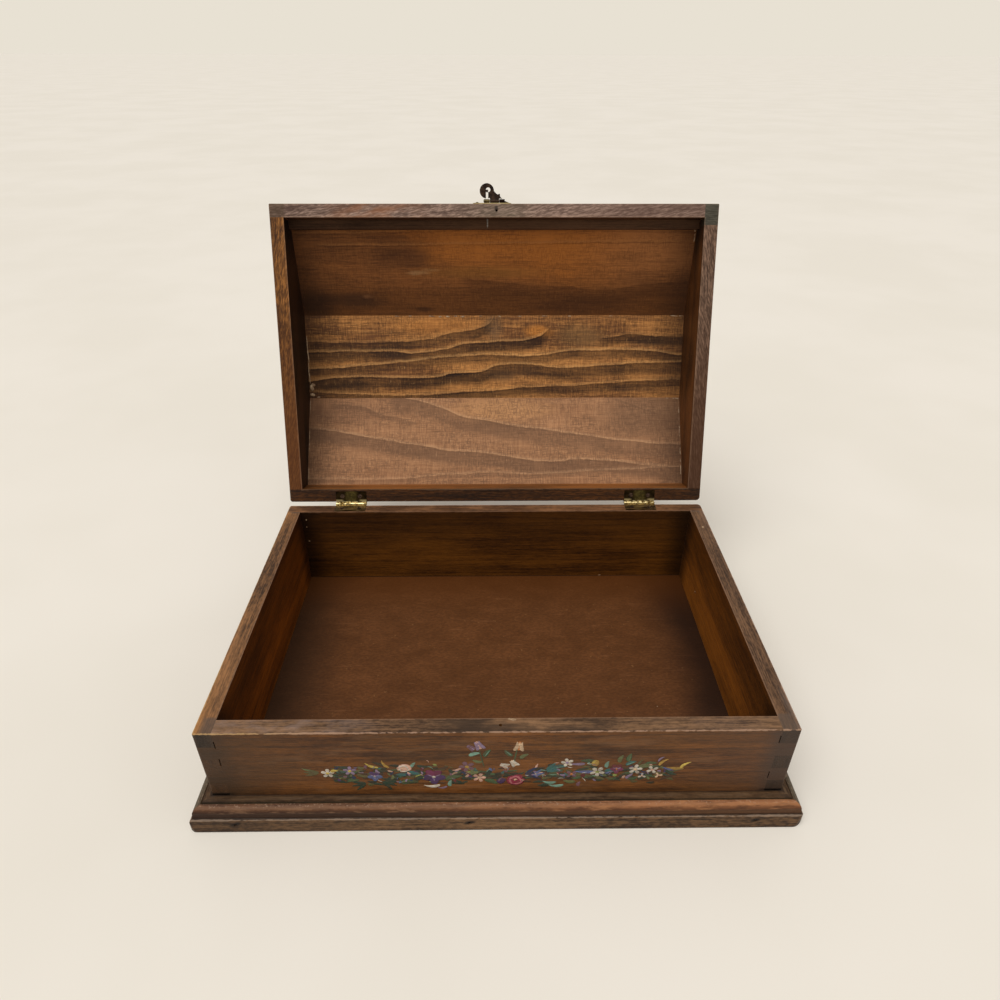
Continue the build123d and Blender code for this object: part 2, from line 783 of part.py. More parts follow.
for name, end in ends.items():
    nodes[f"base_{name}_wall"] = base_end_board(end)
for name, side in sides.items():
    nodes[f"base_{name}_wall"] = base_side_board(side)
nodes["bottom_panel"] = block(-half_width, half_width, -half_depth, half_depth, 0, bottom_thickness)
for side, drops in ((-1, left_glue_gap_drops), (1, right_glue_gap_drops)):
    for drop in drops:
        nodes["base_front_wall"] -= glue_gap(side, drop)
for name, side in sides.items():
    nodes[f"base_{name}_wall"] -= corner_chip(side)
nodes["base_front_wall"] -= pin_hole(rim_height, -1)

for name, vector in outward.items():
    nodes[f"plinth_{name}"] = plinth_run(vector)

plinth_brads = []
for name, vector in outward.items():
    for point, direction in plinth_brad_spots(vector):
        hole = brad_hole(point, direction, plinth_brad_length)
        nodes[f"plinth_{name}"] -= hole
        nodes[f"base_{name}_wall"] -= hole
        plinth_brads.append(brad(point, direction, plinth_brad_length))

panel_brads = []
for point, direction in panel_brad_spots():
    hole = brad_hole(point, direction, panel_brad_length)
    nodes["bottom_panel"] -= hole
    for name in outward:
        nodes[f"base_{name}_wall"] -= hole
    panel_brads.append(brad(point, direction, panel_brad_length))

for name, end in ends.items():
    nodes[f"lid_{name}_board"] = lid_end_board(end)
for name, side in sides.items():
    nodes[f"lid_{name}_gable"] = lid_gable(side)
nodes["lid_corner_block"] = lid_corner_block()
nodes["lid_front_strip"] = lid_front_strip()
nodes["lid_front_board"] -= pin_hole(lid_rim_z, 1)

plank_brads = []
for which in ("front", "top", "rear"):
    plank = crown_plank(which)
    for point, direction in plank_brad_spots(which):
        hole = brad_hole(point, direction, plank_brad_length)
        plank -= hole
        for name in ("lid_front_board", "lid_back_board", "lid_left_gable", "lid_right_gable"):
            nodes[name] -= hole
        plank_brads.append(brad(point, direction, plank_brad_length))
    nodes[f"lid_{which}_plank"] = plank

base_screws = []
lid_screws = []
for name, centre_x in hinge_centres.items():
    nodes["base_back_wall"] -= hinge_mortise(centre_x, False)
    nodes["lid_back_board"] -= hinge_mortise(centre_x, True)
    for point, direction in hinge_screw_spots(centre_x, False):
        nodes["base_back_wall"] -= hinge_screw(point, direction, brad_hole_clearance)
        base_screws.append(hinge_screw(point, direction))
    for point, direction in hinge_screw_spots(centre_x, True):
        nodes["lid_back_board"] -= hinge_screw(point, direction, brad_hole_clearance)
        lid_screws.append(hinge_screw(point, direction))
    nodes[f"hinge_{name}_base_leaf"] = hinge_leaf(centre_x, False)
    nodes[f"hinge_{name}_lid_leaf"] = hinge_leaf(centre_x, True)
    nodes[f"hinge_{name}_pin"] = hinge_pin(centre_x)

nodes["latch_plate"] = latch_plate()
nodes["latch_hasp"] = latch_hasp()
nodes["latch_pin"] = latch_pin()
latch_nails = []
for point, direction in latch_nail_spots():
    nodes["lid_front_board"] -= nail_hole(point, direction, latch_plate_thickness + latch_nail_length)
    latch_nails.append(domed_nail(point, direction, latch_nail_length))
point, direction = long_nail_spot()
nodes["lid_front_board"] -= nail_hole(point, direction, latch_plate_thickness + latch_long_nail_length)
nodes["latch_long_nail"] = domed_nail(point, direction, latch_long_nail_length)

for name in nodes:
    nodes[name] = one_solid(nodes[name])

groups = {
    "plinth_brads": plinth_brads,
    "panel_brads": panel_brads,
    "plank_brads": plank_brads,
    "hinge_base_screws": base_screws,
    "hinge_lid_screws": lid_screws,
    "latch_nails": latch_nails,
}
for name, pieces in groups.items():
    nodes[name] = Compound(children=[one_solid(piece) for piece in pieces])

# The lid and the latch on it rest open
fixed_hinge_parts = ("hinge_left_base_leaf", "hinge_right_base_leaf", "hinge_left_pin", "hinge_right_pin")
lid_prefixes = ("lid_", "latch_", "plank_brads", "hinge_lid_screws", "hinge_left_lid", "hinge_right_lid")
os.makedirs("parts", exist_ok=True)
for name, shape in nodes.items():
    if name.startswith(lid_prefixes) and name not in fixed_hinge_parts:
        shape = opened(shape)
    export_step(shape, f"parts/{name}.step")
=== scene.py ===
import json
import math
import random

import bmesh
import bpy
from mathutils import Matrix, Vector


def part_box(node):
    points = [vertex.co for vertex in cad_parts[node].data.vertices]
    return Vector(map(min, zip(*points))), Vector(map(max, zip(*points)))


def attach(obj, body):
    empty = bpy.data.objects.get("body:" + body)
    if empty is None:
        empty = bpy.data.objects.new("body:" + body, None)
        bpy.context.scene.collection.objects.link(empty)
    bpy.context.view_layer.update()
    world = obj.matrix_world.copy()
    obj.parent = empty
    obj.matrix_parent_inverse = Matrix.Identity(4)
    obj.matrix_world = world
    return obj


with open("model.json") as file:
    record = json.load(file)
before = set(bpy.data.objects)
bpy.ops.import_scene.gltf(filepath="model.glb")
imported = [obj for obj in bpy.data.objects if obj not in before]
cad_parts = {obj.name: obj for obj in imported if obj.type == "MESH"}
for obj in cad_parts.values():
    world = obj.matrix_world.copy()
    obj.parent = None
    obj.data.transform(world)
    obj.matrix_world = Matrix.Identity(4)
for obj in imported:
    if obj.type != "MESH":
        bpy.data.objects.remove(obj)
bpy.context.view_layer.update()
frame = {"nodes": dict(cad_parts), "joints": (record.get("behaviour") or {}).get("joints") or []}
nodes = frame["nodes"]


# Bottom panel
# The floor of the box: thin smooth board, stained reddish brown in one coat, pinned up into the walls.
# It is darkest along the walls, in painted shade. The helpers that start here add their nodes to
# the node tree that the name tree stands for at the time.

def shade(red, green, blue):
    """A colour written in the usual 0 to 255 steps, as the linear colour that a socket takes."""
    steps = [c / 255 for c in (red, green, blue)]
    linear = [c / 12.92 if c <= 0.04045 else ((c + 0.055) / 1.055) ** 2.4 for c in steps]
    return (*linear, 1.0)


def fill(socket, value):
    """Links or sets one input. A colour of three numbers is in 0 to 255 steps."""
    if isinstance(value, bpy.types.NodeSocket):
        tree.links.new(value, socket)
    elif socket.type == "RGBA" and len(value) == 3:
        socket.default_value = shade(*value)
    else:
        socket.default_value = value


def put(kind, sockets, **settings):
    """Adds a node. sockets gives inputs by name or number, as values or as outputs to link."""
    made = tree.nodes.new("ShaderNode" + kind)
    for name, value in settings.items():
        setattr(made, name, value)
    for name, value in sockets.items():
        fill(made.inputs[name], value)
    return made


def calc(step, *terms, clamp=False):
    """The result of one Math node."""
    return put("Math", dict(enumerate(terms)), operation=step, use_clamp=clamp).outputs[0]


def times(first, second):
    """One value or mask times another."""
    return calc("MULTIPLY", first, second)


def vector(step, *terms):
    """The result of one Vector Math node."""
    made = put("VectorMath", dict(enumerate(terms)), operation=step)
    return made.outputs["Value" if step == "LENGTH" else "Vector"]


def parts(place):
    """The x, y and z of a place."""
    return put("SeparateXYZ", {0: place}).outputs


def lay(share, under, over, strength=None):
    """The colour over, laid on the colour under by share, or by share times strength."""
    if strength is not None:
        share = times(share, strength)
    return put("Mix", {0: share, 6: under, 7: over}, data_type="RGBA").outputs[2]


def stretch(place, along, across):
    """place scaled to so many cycles a metre along the board, and across and through it."""
    return vector("MULTIPLY", place, (along, across, across))


def fade(value, start, end, low=0.0, high=1.0):
    """value from start to end, in metres if it is a place, turned smoothly into low to high."""
    sockets = {0: value, 1: start, 2: end, 3: low, 4: high}
    return put("MapRange", sockets, interpolation_type="SMOOTHSTEP").outputs[0]


def cloud(place, detail=2.0, rough=0.5):
    """Smooth noise from 0 to 1 at the scale that place already has."""
    sockets = {"Vector": place, "Scale": 1.0, "Detail": detail, "Roughness": rough}
    return put("TexNoise", sockets).outputs[0]


def patchy(place, along, across, low=0.33, high=0.67, detail=3.0):
    """Noise stretched to so many cycles a metre, with its contrast raised between low and high."""
    return fade(cloud(stretch(place, along, across), detail, 0.6), low, high)


def onward(place, turn, shift=(0, 0, 0)):
    """place turned and shifted, for a grain or a mark that runs another way."""
    return put("Mapping", {"Vector": place, "Location": shift, "Rotation": turn}).outputs[0]


def object_place(turn=(0, 0, 0), shift=(0, 0, 0)):
    """Object coordinates, turned and shifted so that x runs along the grain."""
    return onward(put("TexCoord", {}).outputs["Object"], turn, shift)


def finish_of(name, roughness=0.5, specular=0.2):
    """A new material: itself, its tree and its shader."""
    material = bpy.data.materials.new(name)
    material.use_nodes = True
    shader = material.node_tree.nodes["Principled BSDF"]
    shader.inputs["Roughness"].default_value = roughness
    shader.inputs["Specular IOR Level"].default_value = specular
    return material, material.node_tree, shader


def coat(colour, height=None, strength=0.3, distance=0.0003, **others):
    """Gives the shader in use its colour, bump from height, and other inputs by name."""
    fill(shader.inputs["Base Color"], colour)
    if height:
        bump = put("Bump", {"Strength": strength, "Distance": distance, "Height": height})
        fill(shader.inputs["Normal"], bump.outputs[0])
    for name, value in others.items():
        fill(shader.inputs[name], value)


def dress(finish, *names):
    """Gives CAD nodes their finish in place of the plain one."""
    for name in names:
        nodes[name].data.materials.clear()
        nodes[name].data.materials.append(finish)


front_low, front_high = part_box("base_front_wall")
side_low, side_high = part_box("base_right_wall")
half_width, half_depth, rim_height = side_high.x, side_high.y, side_high.z
end_wall = front_high.y - front_low.y
side_wall = side_high.x - side_low.x
inner_x, inner_y = half_width - side_wall, half_depth - end_wall

finish, tree, shader = finish_of("panel_stain", 0.55, 0.15)
place = object_place()
sideways, deep, _ = parts(place)
mottle = patchy(place, 44, 80, 0.2, 0.8, 6.0)
grit = patchy(place, 380, 800)
rubs = patchy(place, 50, 420, 0.6, 0.75)
colour = lay(mottle, (88, 52, 24), (112, 69, 37))
colour = lay(patchy(place, 7, 9), colour, (78, 47, 25), 0.2)
colour = lay(grit, colour, (68, 40, 20), 0.5)
colour = lay(rubs, colour, (136, 90, 56), 0.3)
specks = patchy(place, 420, 420, 0.73, 0.78, 1.0)
colour = lay(specks, colour, (150, 108, 66), 0.35)
drift = times(calc("SUBTRACT", cloud(stretch(place, 12, 12)), 0.5), 0.03)
to_left = calc("ADD", calc("ADD", sideways, inner_x), drift)
to_right = calc("ADD", calc("SUBTRACT", inner_x, sideways), drift)
seam = calc("SUBTRACT", inner_y, deep)
to_back = calc("ADD", seam, times(drift, 0.4))
# Painted shade: the floor darkens towards the left, right and back walls, where they shade it.
colour = lay(fade(to_left, 0.05, 0.002, 0.0, 0.78), colour, (54, 36, 23))
colour = lay(fade(to_right, 0.05, 0.006, 0.0, 0.9), colour, (38, 22, 13))
colour = lay(fade(to_back, 0.06, 0.0, 0.0, 0.7), colour, (80, 41, 6))
colour = lay(fade(seam, 0.0016, 0.0004, 0.0, 0.8), colour, (24, 12, 4))
colour = lay(fade(deep, -0.03, -0.1, 0.0, 0.22), colour, (132, 92, 66))
coat(colour, grit, 0.2, 0.0002)
dress(finish, "bottom_panel")


# Base walls
# Four planed softwood boards, finger-jointed, stained dark and sealed; the rims and arrises have worn
# pale and greyish, and the inside took the stain warmer and darker than the outside. Painted shade
# darkens the inside corners, and a painted shadow the gap at the foot of each outside corner.

def effect(name, inputs, outputs):
    """A new node group with its inputs as (name, kind, value) and its outputs as (name, kind)."""
    group = bpy.data.node_groups.new(name, "ShaderNodeTree")
    for label, kind, value in inputs:
        socket = group.interface.new_socket(label, in_out="INPUT", socket_type="NodeSocket" + kind)
        socket.default_value = value
    for label, kind in outputs:
        group.interface.new_socket(label, in_out="OUTPUT", socket_type="NodeSocket" + kind)
    return group, group.nodes.new("NodeGroupInput").outputs, group.nodes.new("NodeGroupOutput").inputs


def use(group, **sockets):
    """Places a node group in a material. A keyword's underscore stands for the space in the name."""
    inputs = {name.replace("_", " "): value for name, value in sockets.items()}
    return put("Group", inputs, node_tree=group).outputs


def far(spot, centre, scale):
    """How far spot lies from centre, with each direction scaled."""
    return vector("LENGTH", vector("MULTIPLY", vector("SUBTRACT", spot, centre), scale))


tree, given, out = effect(
    "edge_line",
    [("Section", "Vector", (0, 0, 0)), ("Edge", "Vector", (0, 0, 0)), ("Across", "Vector", (1, 0, 1)),
     ("Reach", "Float", 0.002), ("Ragged", "Float", 1.0), ("Grain", "Vector", (0, 0, 0))],
    [("Mask", "Float")])
gap = far(given["Section"], given["Edge"], given["Across"])
bites = calc("ADD", patchy(given["Grain"], 40, 150), patchy(given["Grain"], 300, 700))
bites = times(calc("SUBTRACT", bites, 1.0), given["Ragged"])
reach = times(given["Reach"], calc("MULTIPLY_ADD", bites, 0.7, 1.0))
share = calc("DIVIDE", gap, calc("MAXIMUM", reach, 0.00002))
fill(out["Mask"], fade(share, 1.0, 0.4))
edge_line = tree

tree, given, out = effect(
    "stained_grain",
    [("Place", "Vector", (0, 0, 0)),
     ("Pale", "Color", shade(120, 80, 50)), ("Dark", "Color", shade(60, 36, 20)),
     ("Ring Gap", "Float", 0.004), ("Ring Depth", "Float", 0.5), ("Wander", "Float", 0.004),
     ("Streaks", "Float", 0.5), ("Blotches", "Float", 0.4), ("Flecks", "Float", 0.2),
     ("Pores", "Float", 0.4), ("Sawn", "Float", 0.0)],
    [("Colour", "Color"), ("Depth", "Float"), ("Fibre", "Float")])
place = given["Place"]
sway = put("TexNoise", {"Vector": stretch(place, 5, 30), "Scale": 1.0, "Detail": 2.0}).outputs["Color"]
sway = vector("SUBTRACT", sway, (0.5, 0.5, 0.5))
sway = put("VectorMath", {0: sway, "Scale": given["Wander"]}, operation="SCALE").outputs[0]
bent = vector("ADD", place, sway)
ring = calc("DIVIDE", vector("LENGTH", vector("MULTIPLY", bent, (0, 1, 1))), given["Ring Gap"])
uneven = put("TexNoise", {"W": times(ring, 0.45), "Scale": 1.0, "Detail": 1.0}, noise_dimensions="1D")
ring = calc("FRACT", calc("ADD", ring, times(uneven.outputs[0], 2.2)))
late = calc("ADD", fade(ring, 0.25, 0.94), fade(ring, 0.95, 1.0, 0.0, -1.0))
hair = patchy(place, 90, 1400, 0.36, 0.64)
fibre = calc("ADD", times(patchy(place, 18, 520, 0.34, 0.66, 4.0), 0.55), times(hair, 0.45))
patterns = {
    "Streaks": fibre, "Blotches": patchy(place, 9, 34),
    "Flecks": patchy(place, 260, 760, 0.34, 0.66), "Sawn": patchy(place, 900, 60),
}
depth = times(calc("SUBTRACT", late, 0.38), given["Ring Depth"])
for strength, pattern in patterns.items():
    depth = calc("ADD", depth, times(calc("SUBTRACT", pattern, 0.5), given[strength]))
depth = calc("ADD", depth, 0.5, clamp=True)
pores = times(patchy(place, 42, 1100, 0.58, 0.7, 2.0), given["Pores"])
pore_brown = lay(0.5, given["Dark"], (0, 0, 0))
fill(out["Colour"], lay(pores, lay(depth, given["Pale"], given["Dark"]), pore_brown))
fill(out["Depth"], depth)
fill(out["Fibre"], fibre)
stained_grain = tree

tree, given, out = effect(
    "box_section", [("Place", "Vector", (0, 0, 0))],
    [("Section", "Vector"), ("Out", "Float"), ("Up", "Float"), ("Side", "Float"), ("End", "Float")])
sideways, deep, up = parts(given["Place"])
past_side = calc("SUBTRACT", calc("ABSOLUTE", sideways), half_width)
past_end = calc("SUBTRACT", calc("ABSOLUTE", deep), half_depth)
outward = calc("MAXIMUM", past_side, past_end)
inward = calc("MINIMUM", past_side, past_end)
fill(out["Section"], put("CombineXYZ", {0: outward, 1: inward, 2: up}).outputs[0])
fill(out["Out"], outward)
fill(out["Up"], up)
fill(out["Side"], past_side)
fill(out["End"], past_end)
box_section = tree


def worn(edge, reach, ragged=1.0, **others):
    """A mask along the arris through edge, a place in the section, out to reach metres from it, for wear
    and for painted highlights.
    """
    return use(edge_line, Section=section, Edge=edge, Reach=reach, Ragged=ragged, Grain=grain, **others)[0]


quarter_turn = math.pi / 2
finger_height = 0.053
outer_look = {"Pale": (128, 78, 33), "Dark": (60, 34, 16), "Ring_Gap": 0.0042, "Ring_Depth": 0.2,
              "Streaks": 0.7, "Blotches": 0.5, "Flecks": 0.25, "Pores": 0.5}
rim_look = {"Dark": (62, 43, 29), "Ring_Gap": 0.0024, "Ring_Depth": 0.2, "Streaks": 0.55,
            "Blotches": 0.5, "Flecks": 0.35, "Pores": 0.5}
wall_looks = {
    "base_front_wall": {"turn": 0.0, "shift": (0.3, 0.18, -0.015), "thick": end_wall,
                        "pale": (100, 62, 26), "dark": (52, 30, 12), "rim": (142, 106, 74)},
    "base_back_wall": {"turn": 0.0, "shift": (1.7, -0.05, -0.16), "thick": end_wall,
                       "pale": (112, 66, 18), "dark": (52, 26, 7), "rim": (150, 104, 68)},
    "base_left_wall": {"turn": quarter_turn, "shift": (2.9, 0.02, -0.12), "thick": side_wall,
                       "pale": (162, 88, 20), "dark": (84, 43, 11), "rim": (154, 108, 68),
                       "top_finger": 1.0, "worn": (176, 122, 68)},
    "base_right_wall": {"turn": quarter_turn, "shift": (4.3, 0.12, -0.05), "thick": side_wall,
                        "pale": (156, 92, 29), "dark": (78, 44, 16), "rim": (136, 100, 70),
                        "top_finger": 0.25, "worn": (100, 88, 80)},
}
for wall, look in wall_looks.items():
    finish, tree, shader = finish_of(wall + "_stain")
    here = object_place()
    section, outward, up, past_side, past_end = use(box_section, Place=here)
    grain = object_place((0, 0, look["turn"]), look["shift"])
    outer = use(stained_grain, Place=grain, **outer_look)
    inner = use(stained_grain, Place=grain, Pale=look["pale"], Dark=look["dark"],
                Ring_Gap=0.009, Ring_Depth=0.2, Wander=0.012, Streaks=0.6, Blotches=0.55, Pores=0.2)
    rim_colour = use(stained_grain, Place=grain, Pale=look["rim"], **rim_look)["Colour"]
    low_band = fade(up, rim_height * 0.3, 0.006, 0.0, 0.2)
    outside = lay(low_band, outer["Colour"], (58, 32, 14))
    along = parts(here)[0]
    tinge = patchy(grain, 14, 40)
    outside = lay(tinge, outside, (92, 66, 38), 0.3)
    rubbed = patchy(grain, 34, 130, 0.5, 0.7)
    outside = lay(rubbed, outside, (120, 86, 58), 0.4)
    grimed = patchy(grain, 46, 210, 0.5, 0.72)
    outside = lay(grimed, outside, (50, 31, 18), 0.45)
    at_right = fade(along, -0.01, 0.01)
    cross = past_end if look["turn"] else past_side
    handled = times(fade(cross, -0.024, -side_wall * 0.8), fade(at_right, 0, 1, 0.65, 0.88))
    if wall == "base_back_wall":
        handled = times(handled, patchy(grain, 30, 120, 0.3, 0.8))
    outside = lay(handled, outside, lay(at_right, (58, 42, 28), (57, 47, 40)))
    end_colour = lay(patchy(here, 260, 60), (38, 27, 18), (62, 46, 33))
    end_share = 0.6
    if look["turn"]:
        end_share = fade(up, finger_height - 0.002, finger_height + 0.002, 0.3, look["top_finger"])
    outside = lay(fade(cross, -0.0004, -0.0001), outside, end_colour, end_share)
    # Painted shadow: a near-black patch low at each outside corner, where a gap at the foot lies in shade.
    at_corner = fade(calc("MINIMUM", past_side, past_end), -0.0155, -0.0115)
    foot_gap_shadow = times(at_corner, fade(up, 0.0192, 0.0176, 0.0, 0.9))
    outside = lay(foot_gap_shadow, outside, (12, 8, 6))
    if look["turn"]:
        joint_patch = times(fade(past_end, -0.0125, -0.0105), fade(past_side, -0.002, -0.0045))
        rim_colour = lay(joint_patch, rim_colour, (86, 72, 62), 0.7)
        handled_end = times(fade(past_end, -0.05, -0.012), fade(past_side, -0.006, -0.001))
        handled_end = times(handled_end, fade(patchy(grain, 90, 260), 0.0, 1.0, 0.2, 0.6))
        rim_colour = lay(handled_end, rim_colour, look["worn"])
    if wall == "base_front_wall":
        outside = lay(fade(along, -0.08, -0.16, 0.0, 0.6), outside, (56, 40, 25))
        outside = lay(fade(along, 0.09, 0.15, 0.0, 0.35), outside, (86, 62, 48))
        rubbed_rim = times(patchy(grain, 60, 150), fade(along, 0.05, 0.12, 0.0, 0.1))
        rim_colour = lay(rubbed_rim, rim_colour, (166, 134, 112))
        pinkish = times(patchy(grain, 60, 150), fade(along, -0.06, -0.1, 0.0, 0.4))
        rim_colour = lay(pinkish, rim_colour, (150, 128, 118))
        soiled = times(fade(along, -0.05, -0.015), fade(along, 0.07, 0.05))
        soiled = times(soiled, patchy(grain, 22, 60, 0.3, 0.55))
        rim_colour = lay(soiled, rim_colour, (50, 38, 29), 0.85)
    if wall == "base_back_wall":
        stained_rim = patchy(grain, 26, 80, 0.4, 0.6)
        rim_colour = lay(stained_rim, rim_colour, (56, 33, 20), 0.6)
    inside_colour = lay(fade(up, 0.024, 0.066, 0.0, 0.5), inner["Colour"], (44, 23, 7))
    # Painted shade: the inner walls darken into the inside corners.
    inner_corner_shade = fade(cross, -0.034, -0.012, 0.0, 0.74)
    inside_colour = lay(inner_corner_shade, inside_colour, (16, 8, 3))
    inside = fade(outward, 0.0005 - look["thick"], 0.0001 - look["thick"])
    on_rim = fade(up, rim_height - 0.0006, rim_height - 0.0002)
    colour = lay(inside, outside, inside_colour)
    colour = lay(on_rim, colour, rim_colour)
    outer_edge = worn((0, 0, rim_height), 0.0008, 1.3)
    inner_edge = worn((-look["thick"], 0, rim_height), 0.0009)
    corner = worn((0, 0, 0), 0.0012, Across=(1, 1, 0))
    worn_line = lay(fade(along, -0.155, -0.1), (188, 150, 98), (172, 136, 110))
    colour = lay(outer_edge, colour, worn_line, 0.7)
    colour = lay(inner_edge, colour, (156, 118, 90), 0.35)
    colour = lay(corner, colour, (120, 94, 72), 0.15)
    coat(colour, outer["Fibre"], 0.4)
    dress(finish, wall)


# Plinth
# Four lengths of moulding, mitred round the foot and bradded on: a flat ledge, an ovolo between two
# grooves, and a sloping foot. Hands and dusters have rubbed the ovolo back to a warm orange. Painted
# shade darkens the ovolo's underside, the groove, the quirk, the crease at the wall and the foot by
# the floor, and painted highlights run along the crest and the foot's top arris.

# The moulding's profile: how high its parts lie, and how far out from the wall.
ledge_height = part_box("plinth_front")[1].z
groove_low, groove_high, crest_height = 0.0084, 0.0118, 0.0152
ledge_out, quirk_out, crest_out, foot_out = 0.0047, 0.0054, 0.0079, 0.0113
plinth_looks = {
    "plinth_front": (0.0, (0.9, 0.11, -0.03)), "plinth_back": (0.0, (3.1, -0.1, -0.04)),
    "plinth_left": (quarter_turn, (5.2, 0.1, -0.02)), "plinth_right": (quarter_turn, (7.7, 0.07, -0.05)),
}
for moulding, (turn, shift) in plinth_looks.items():
    finish, tree, shader = finish_of(moulding + "_stain")
    here = object_place()
    along = parts(here)[0]
    section, outward, up, past_side, past_end = use(box_section, Place=here)
    grain = object_place((0, 0, turn), shift)
    wood = use(stained_grain, Place=grain, Pale=(122, 90, 60), Dark=(52, 36, 24),
               Ring_Gap=0.0028, Ring_Depth=0.2, Streaks=0.6, Blotches=0.5, Flecks=0.5, Pores=0.6)
    colour = wood["Colour"]
    # Tones for the ovolo, whose lower tone is painted shade on its underside, for the painted shade in the
    # groove, and for the crest's wear and painted highlight.
    upper, lower, groove_shade, crest_wear_and_highlight = (84, 74, 58), (52, 42, 30), (40, 30, 21), (104, 92, 72)
    if not turn:
        colour = lay(fade(along, -0.02, -0.15, 0.0, 0.3), colour, (52, 38, 27))
        rightward = fade(calc("MULTIPLY_ADD", patchy(grain, 30, 260), 0.07, along), -0.08, 0.14)
        upper = lay(rightward, (96, 60, 35), (148, 96, 60))
        lower = lay(rightward, (50, 28, 18), (94, 55, 30))
        groove_shade = lay(rightward, (48, 28, 18), (84, 54, 32))
        crest_wear_and_highlight = lay(rightward, (138, 102, 74), (184, 126, 80))
    on_ledge = fade(up, ledge_height - 0.0006, ledge_height - 0.0002, 0.0, 0.5)
    colour = lay(on_ledge, colour, (48, 31, 15))
    trodden = times(fade(outward, 0.0012, 0.002), fade(outward, 0.0044, 0.003))
    trodden = times(trodden, fade(patchy(grain, 60, 300), 0.0, 1.0, 0.02, 0.4))
    colour = lay(trodden, colour, (116, 92, 68))
    on_ovolo = times(fade(up, groove_high, groove_high + 0.0008),
                     fade(outward, quirk_out, quirk_out + 0.0006, 0.0, 0.85))
    # Painted shade: the ovolo goes from its upper tone down to a darker lower tone on its underside.
    ovolo = lay(fade(up, 0.0156, 0.0124), upper, lower)
    dark_streaks = patchy(grain, 60, 460, 0.46, 0.64)
    ovolo = lay(dark_streaks, ovolo, (58, 31, 18), 0.6)
    bare_spots = patchy(grain, 90, 380, 0.54, 0.7)
    ovolo = lay(bare_spots, ovolo, crest_wear_and_highlight, 0.5)
    colour = lay(on_ovolo, colour, ovolo)
    # Painted highlight along the ovolo's crest.
    colour = lay(worn((crest_out, 0, crest_height), 0.0017, 0.9), colour, crest_wear_and_highlight, 0.3)
    on_top = fade(up, crest_height - 0.0003, crest_height + 0.0004, 0.0, 0.55)
    nicks = times(patchy(grain, 700, 900, 0.55, 0.7, 2.0), on_top)
    colour = lay(nicks, colour, (166, 136, 112), on_ovolo)
    # Painted shade in the groove under the ovolo, darkest in a line at its foot.
    in_groove = times(fade(up, groove_low, groove_low + 0.0006),
                      fade(up, groove_high + 0.0009, groove_high - 0.0002, 0.0, 0.85))
    colour = lay(in_groove, colour, groove_shade)
    groove_foot_shade = times(fade(up, groove_low - 0.0001, groove_low + 0.0002),
                        fade(up, groove_low + 0.0014, groove_low + 0.0004, 0.0, 0.55))
    colour = lay(groove_foot_shade, colour, (28, 19, 13))
    # Painted shade in the quirk between the ledge and the ovolo.
    quirk_shade = times(fade(outward, ledge_out, ledge_out + 0.0002),
                     fade(outward, quirk_out + 0.0003, quirk_out - 0.0001))
    colour = lay(quirk_shade, colour, (46, 42, 31), 0.5 if turn else 0.75)
    # Painted shade in the crease where the ledge meets the wall.
    wall_crease_shade = fade(outward, 0.0012, 0.0, 0.0, 0.8)
    colour = lay(wall_crease_shade, colour, (30, 19, 11))
    # Painted highlight along the top arris of the foot.
    colour = lay(worn((foot_out, 0, groove_low), 0.0006, 1.4), colour, (156, 134, 114), 0.5)
    # Painted shade at the bottom of the foot, where it meets the floor.
    floor_contact_shade = fade(up, 0.0022, 0.0, 0.0, 0.6)
    colour = lay(floor_contact_shade, colour, (46, 33, 22))
    if moulding == "plinth_front":
        for brad_x in (-0.155, -0.017, 0.153):
            off = onward(vector("SUBTRACT", here, (brad_x, 0, 0.0055)), (0, 0.22, 0))
            smudge = vector("LENGTH", vector("MULTIPLY", off, (280, 0, 900)))
            colour = lay(fade(smudge, 1.3, 0.5, 0.0, 0.85), colour, (20, 13, 9))
    coat(colour, wood["Fibre"], 0.5)
    dress(finish, moulding)


# Brads
# Thin steel brads with small round heads, driven just under the surface and gone dark with age.

finish, tree, shader = finish_of("aged_steel", 0.6)
rust = patchy(object_place(), 900, 900)
dulled = fade(rust, 0.3, 0.7, 0.45, 0.75)
coat(lay(rust, (40, 34, 30), (24, 16, 12)), Roughness=dulled, Metallic=0.4)
dress(finish, "plinth_brads", "panel_brads", "plank_brads")


# Lid boards
# The lid's two long boards and its two gables, of the same softwood as the base, and the small dark
# block let into one corner of the rim. The patterns are laid out on the closed lid. Painted shade
# darkens the gables' rims towards the hinge and their inner faces by the front corner.

hinge_joint = next(joint for joint in frame["joints"] if joint["name"] == "lid_hinge")
open_angle = math.radians(hinge_joint["range_deg"][1])
hinge_point = Vector(hinge_joint["pos_m"])
closing = Matrix.Rotation(open_angle, 3, "X")
closed_shift = hinge_point - closing @ hinge_point
rim_shut = min((closing @ v.co + closed_shift).z for v in nodes["lid_front_board"].data.vertices)
front_thick, back_thick, gable_thick = 0.0097, 0.0106, 0.0105

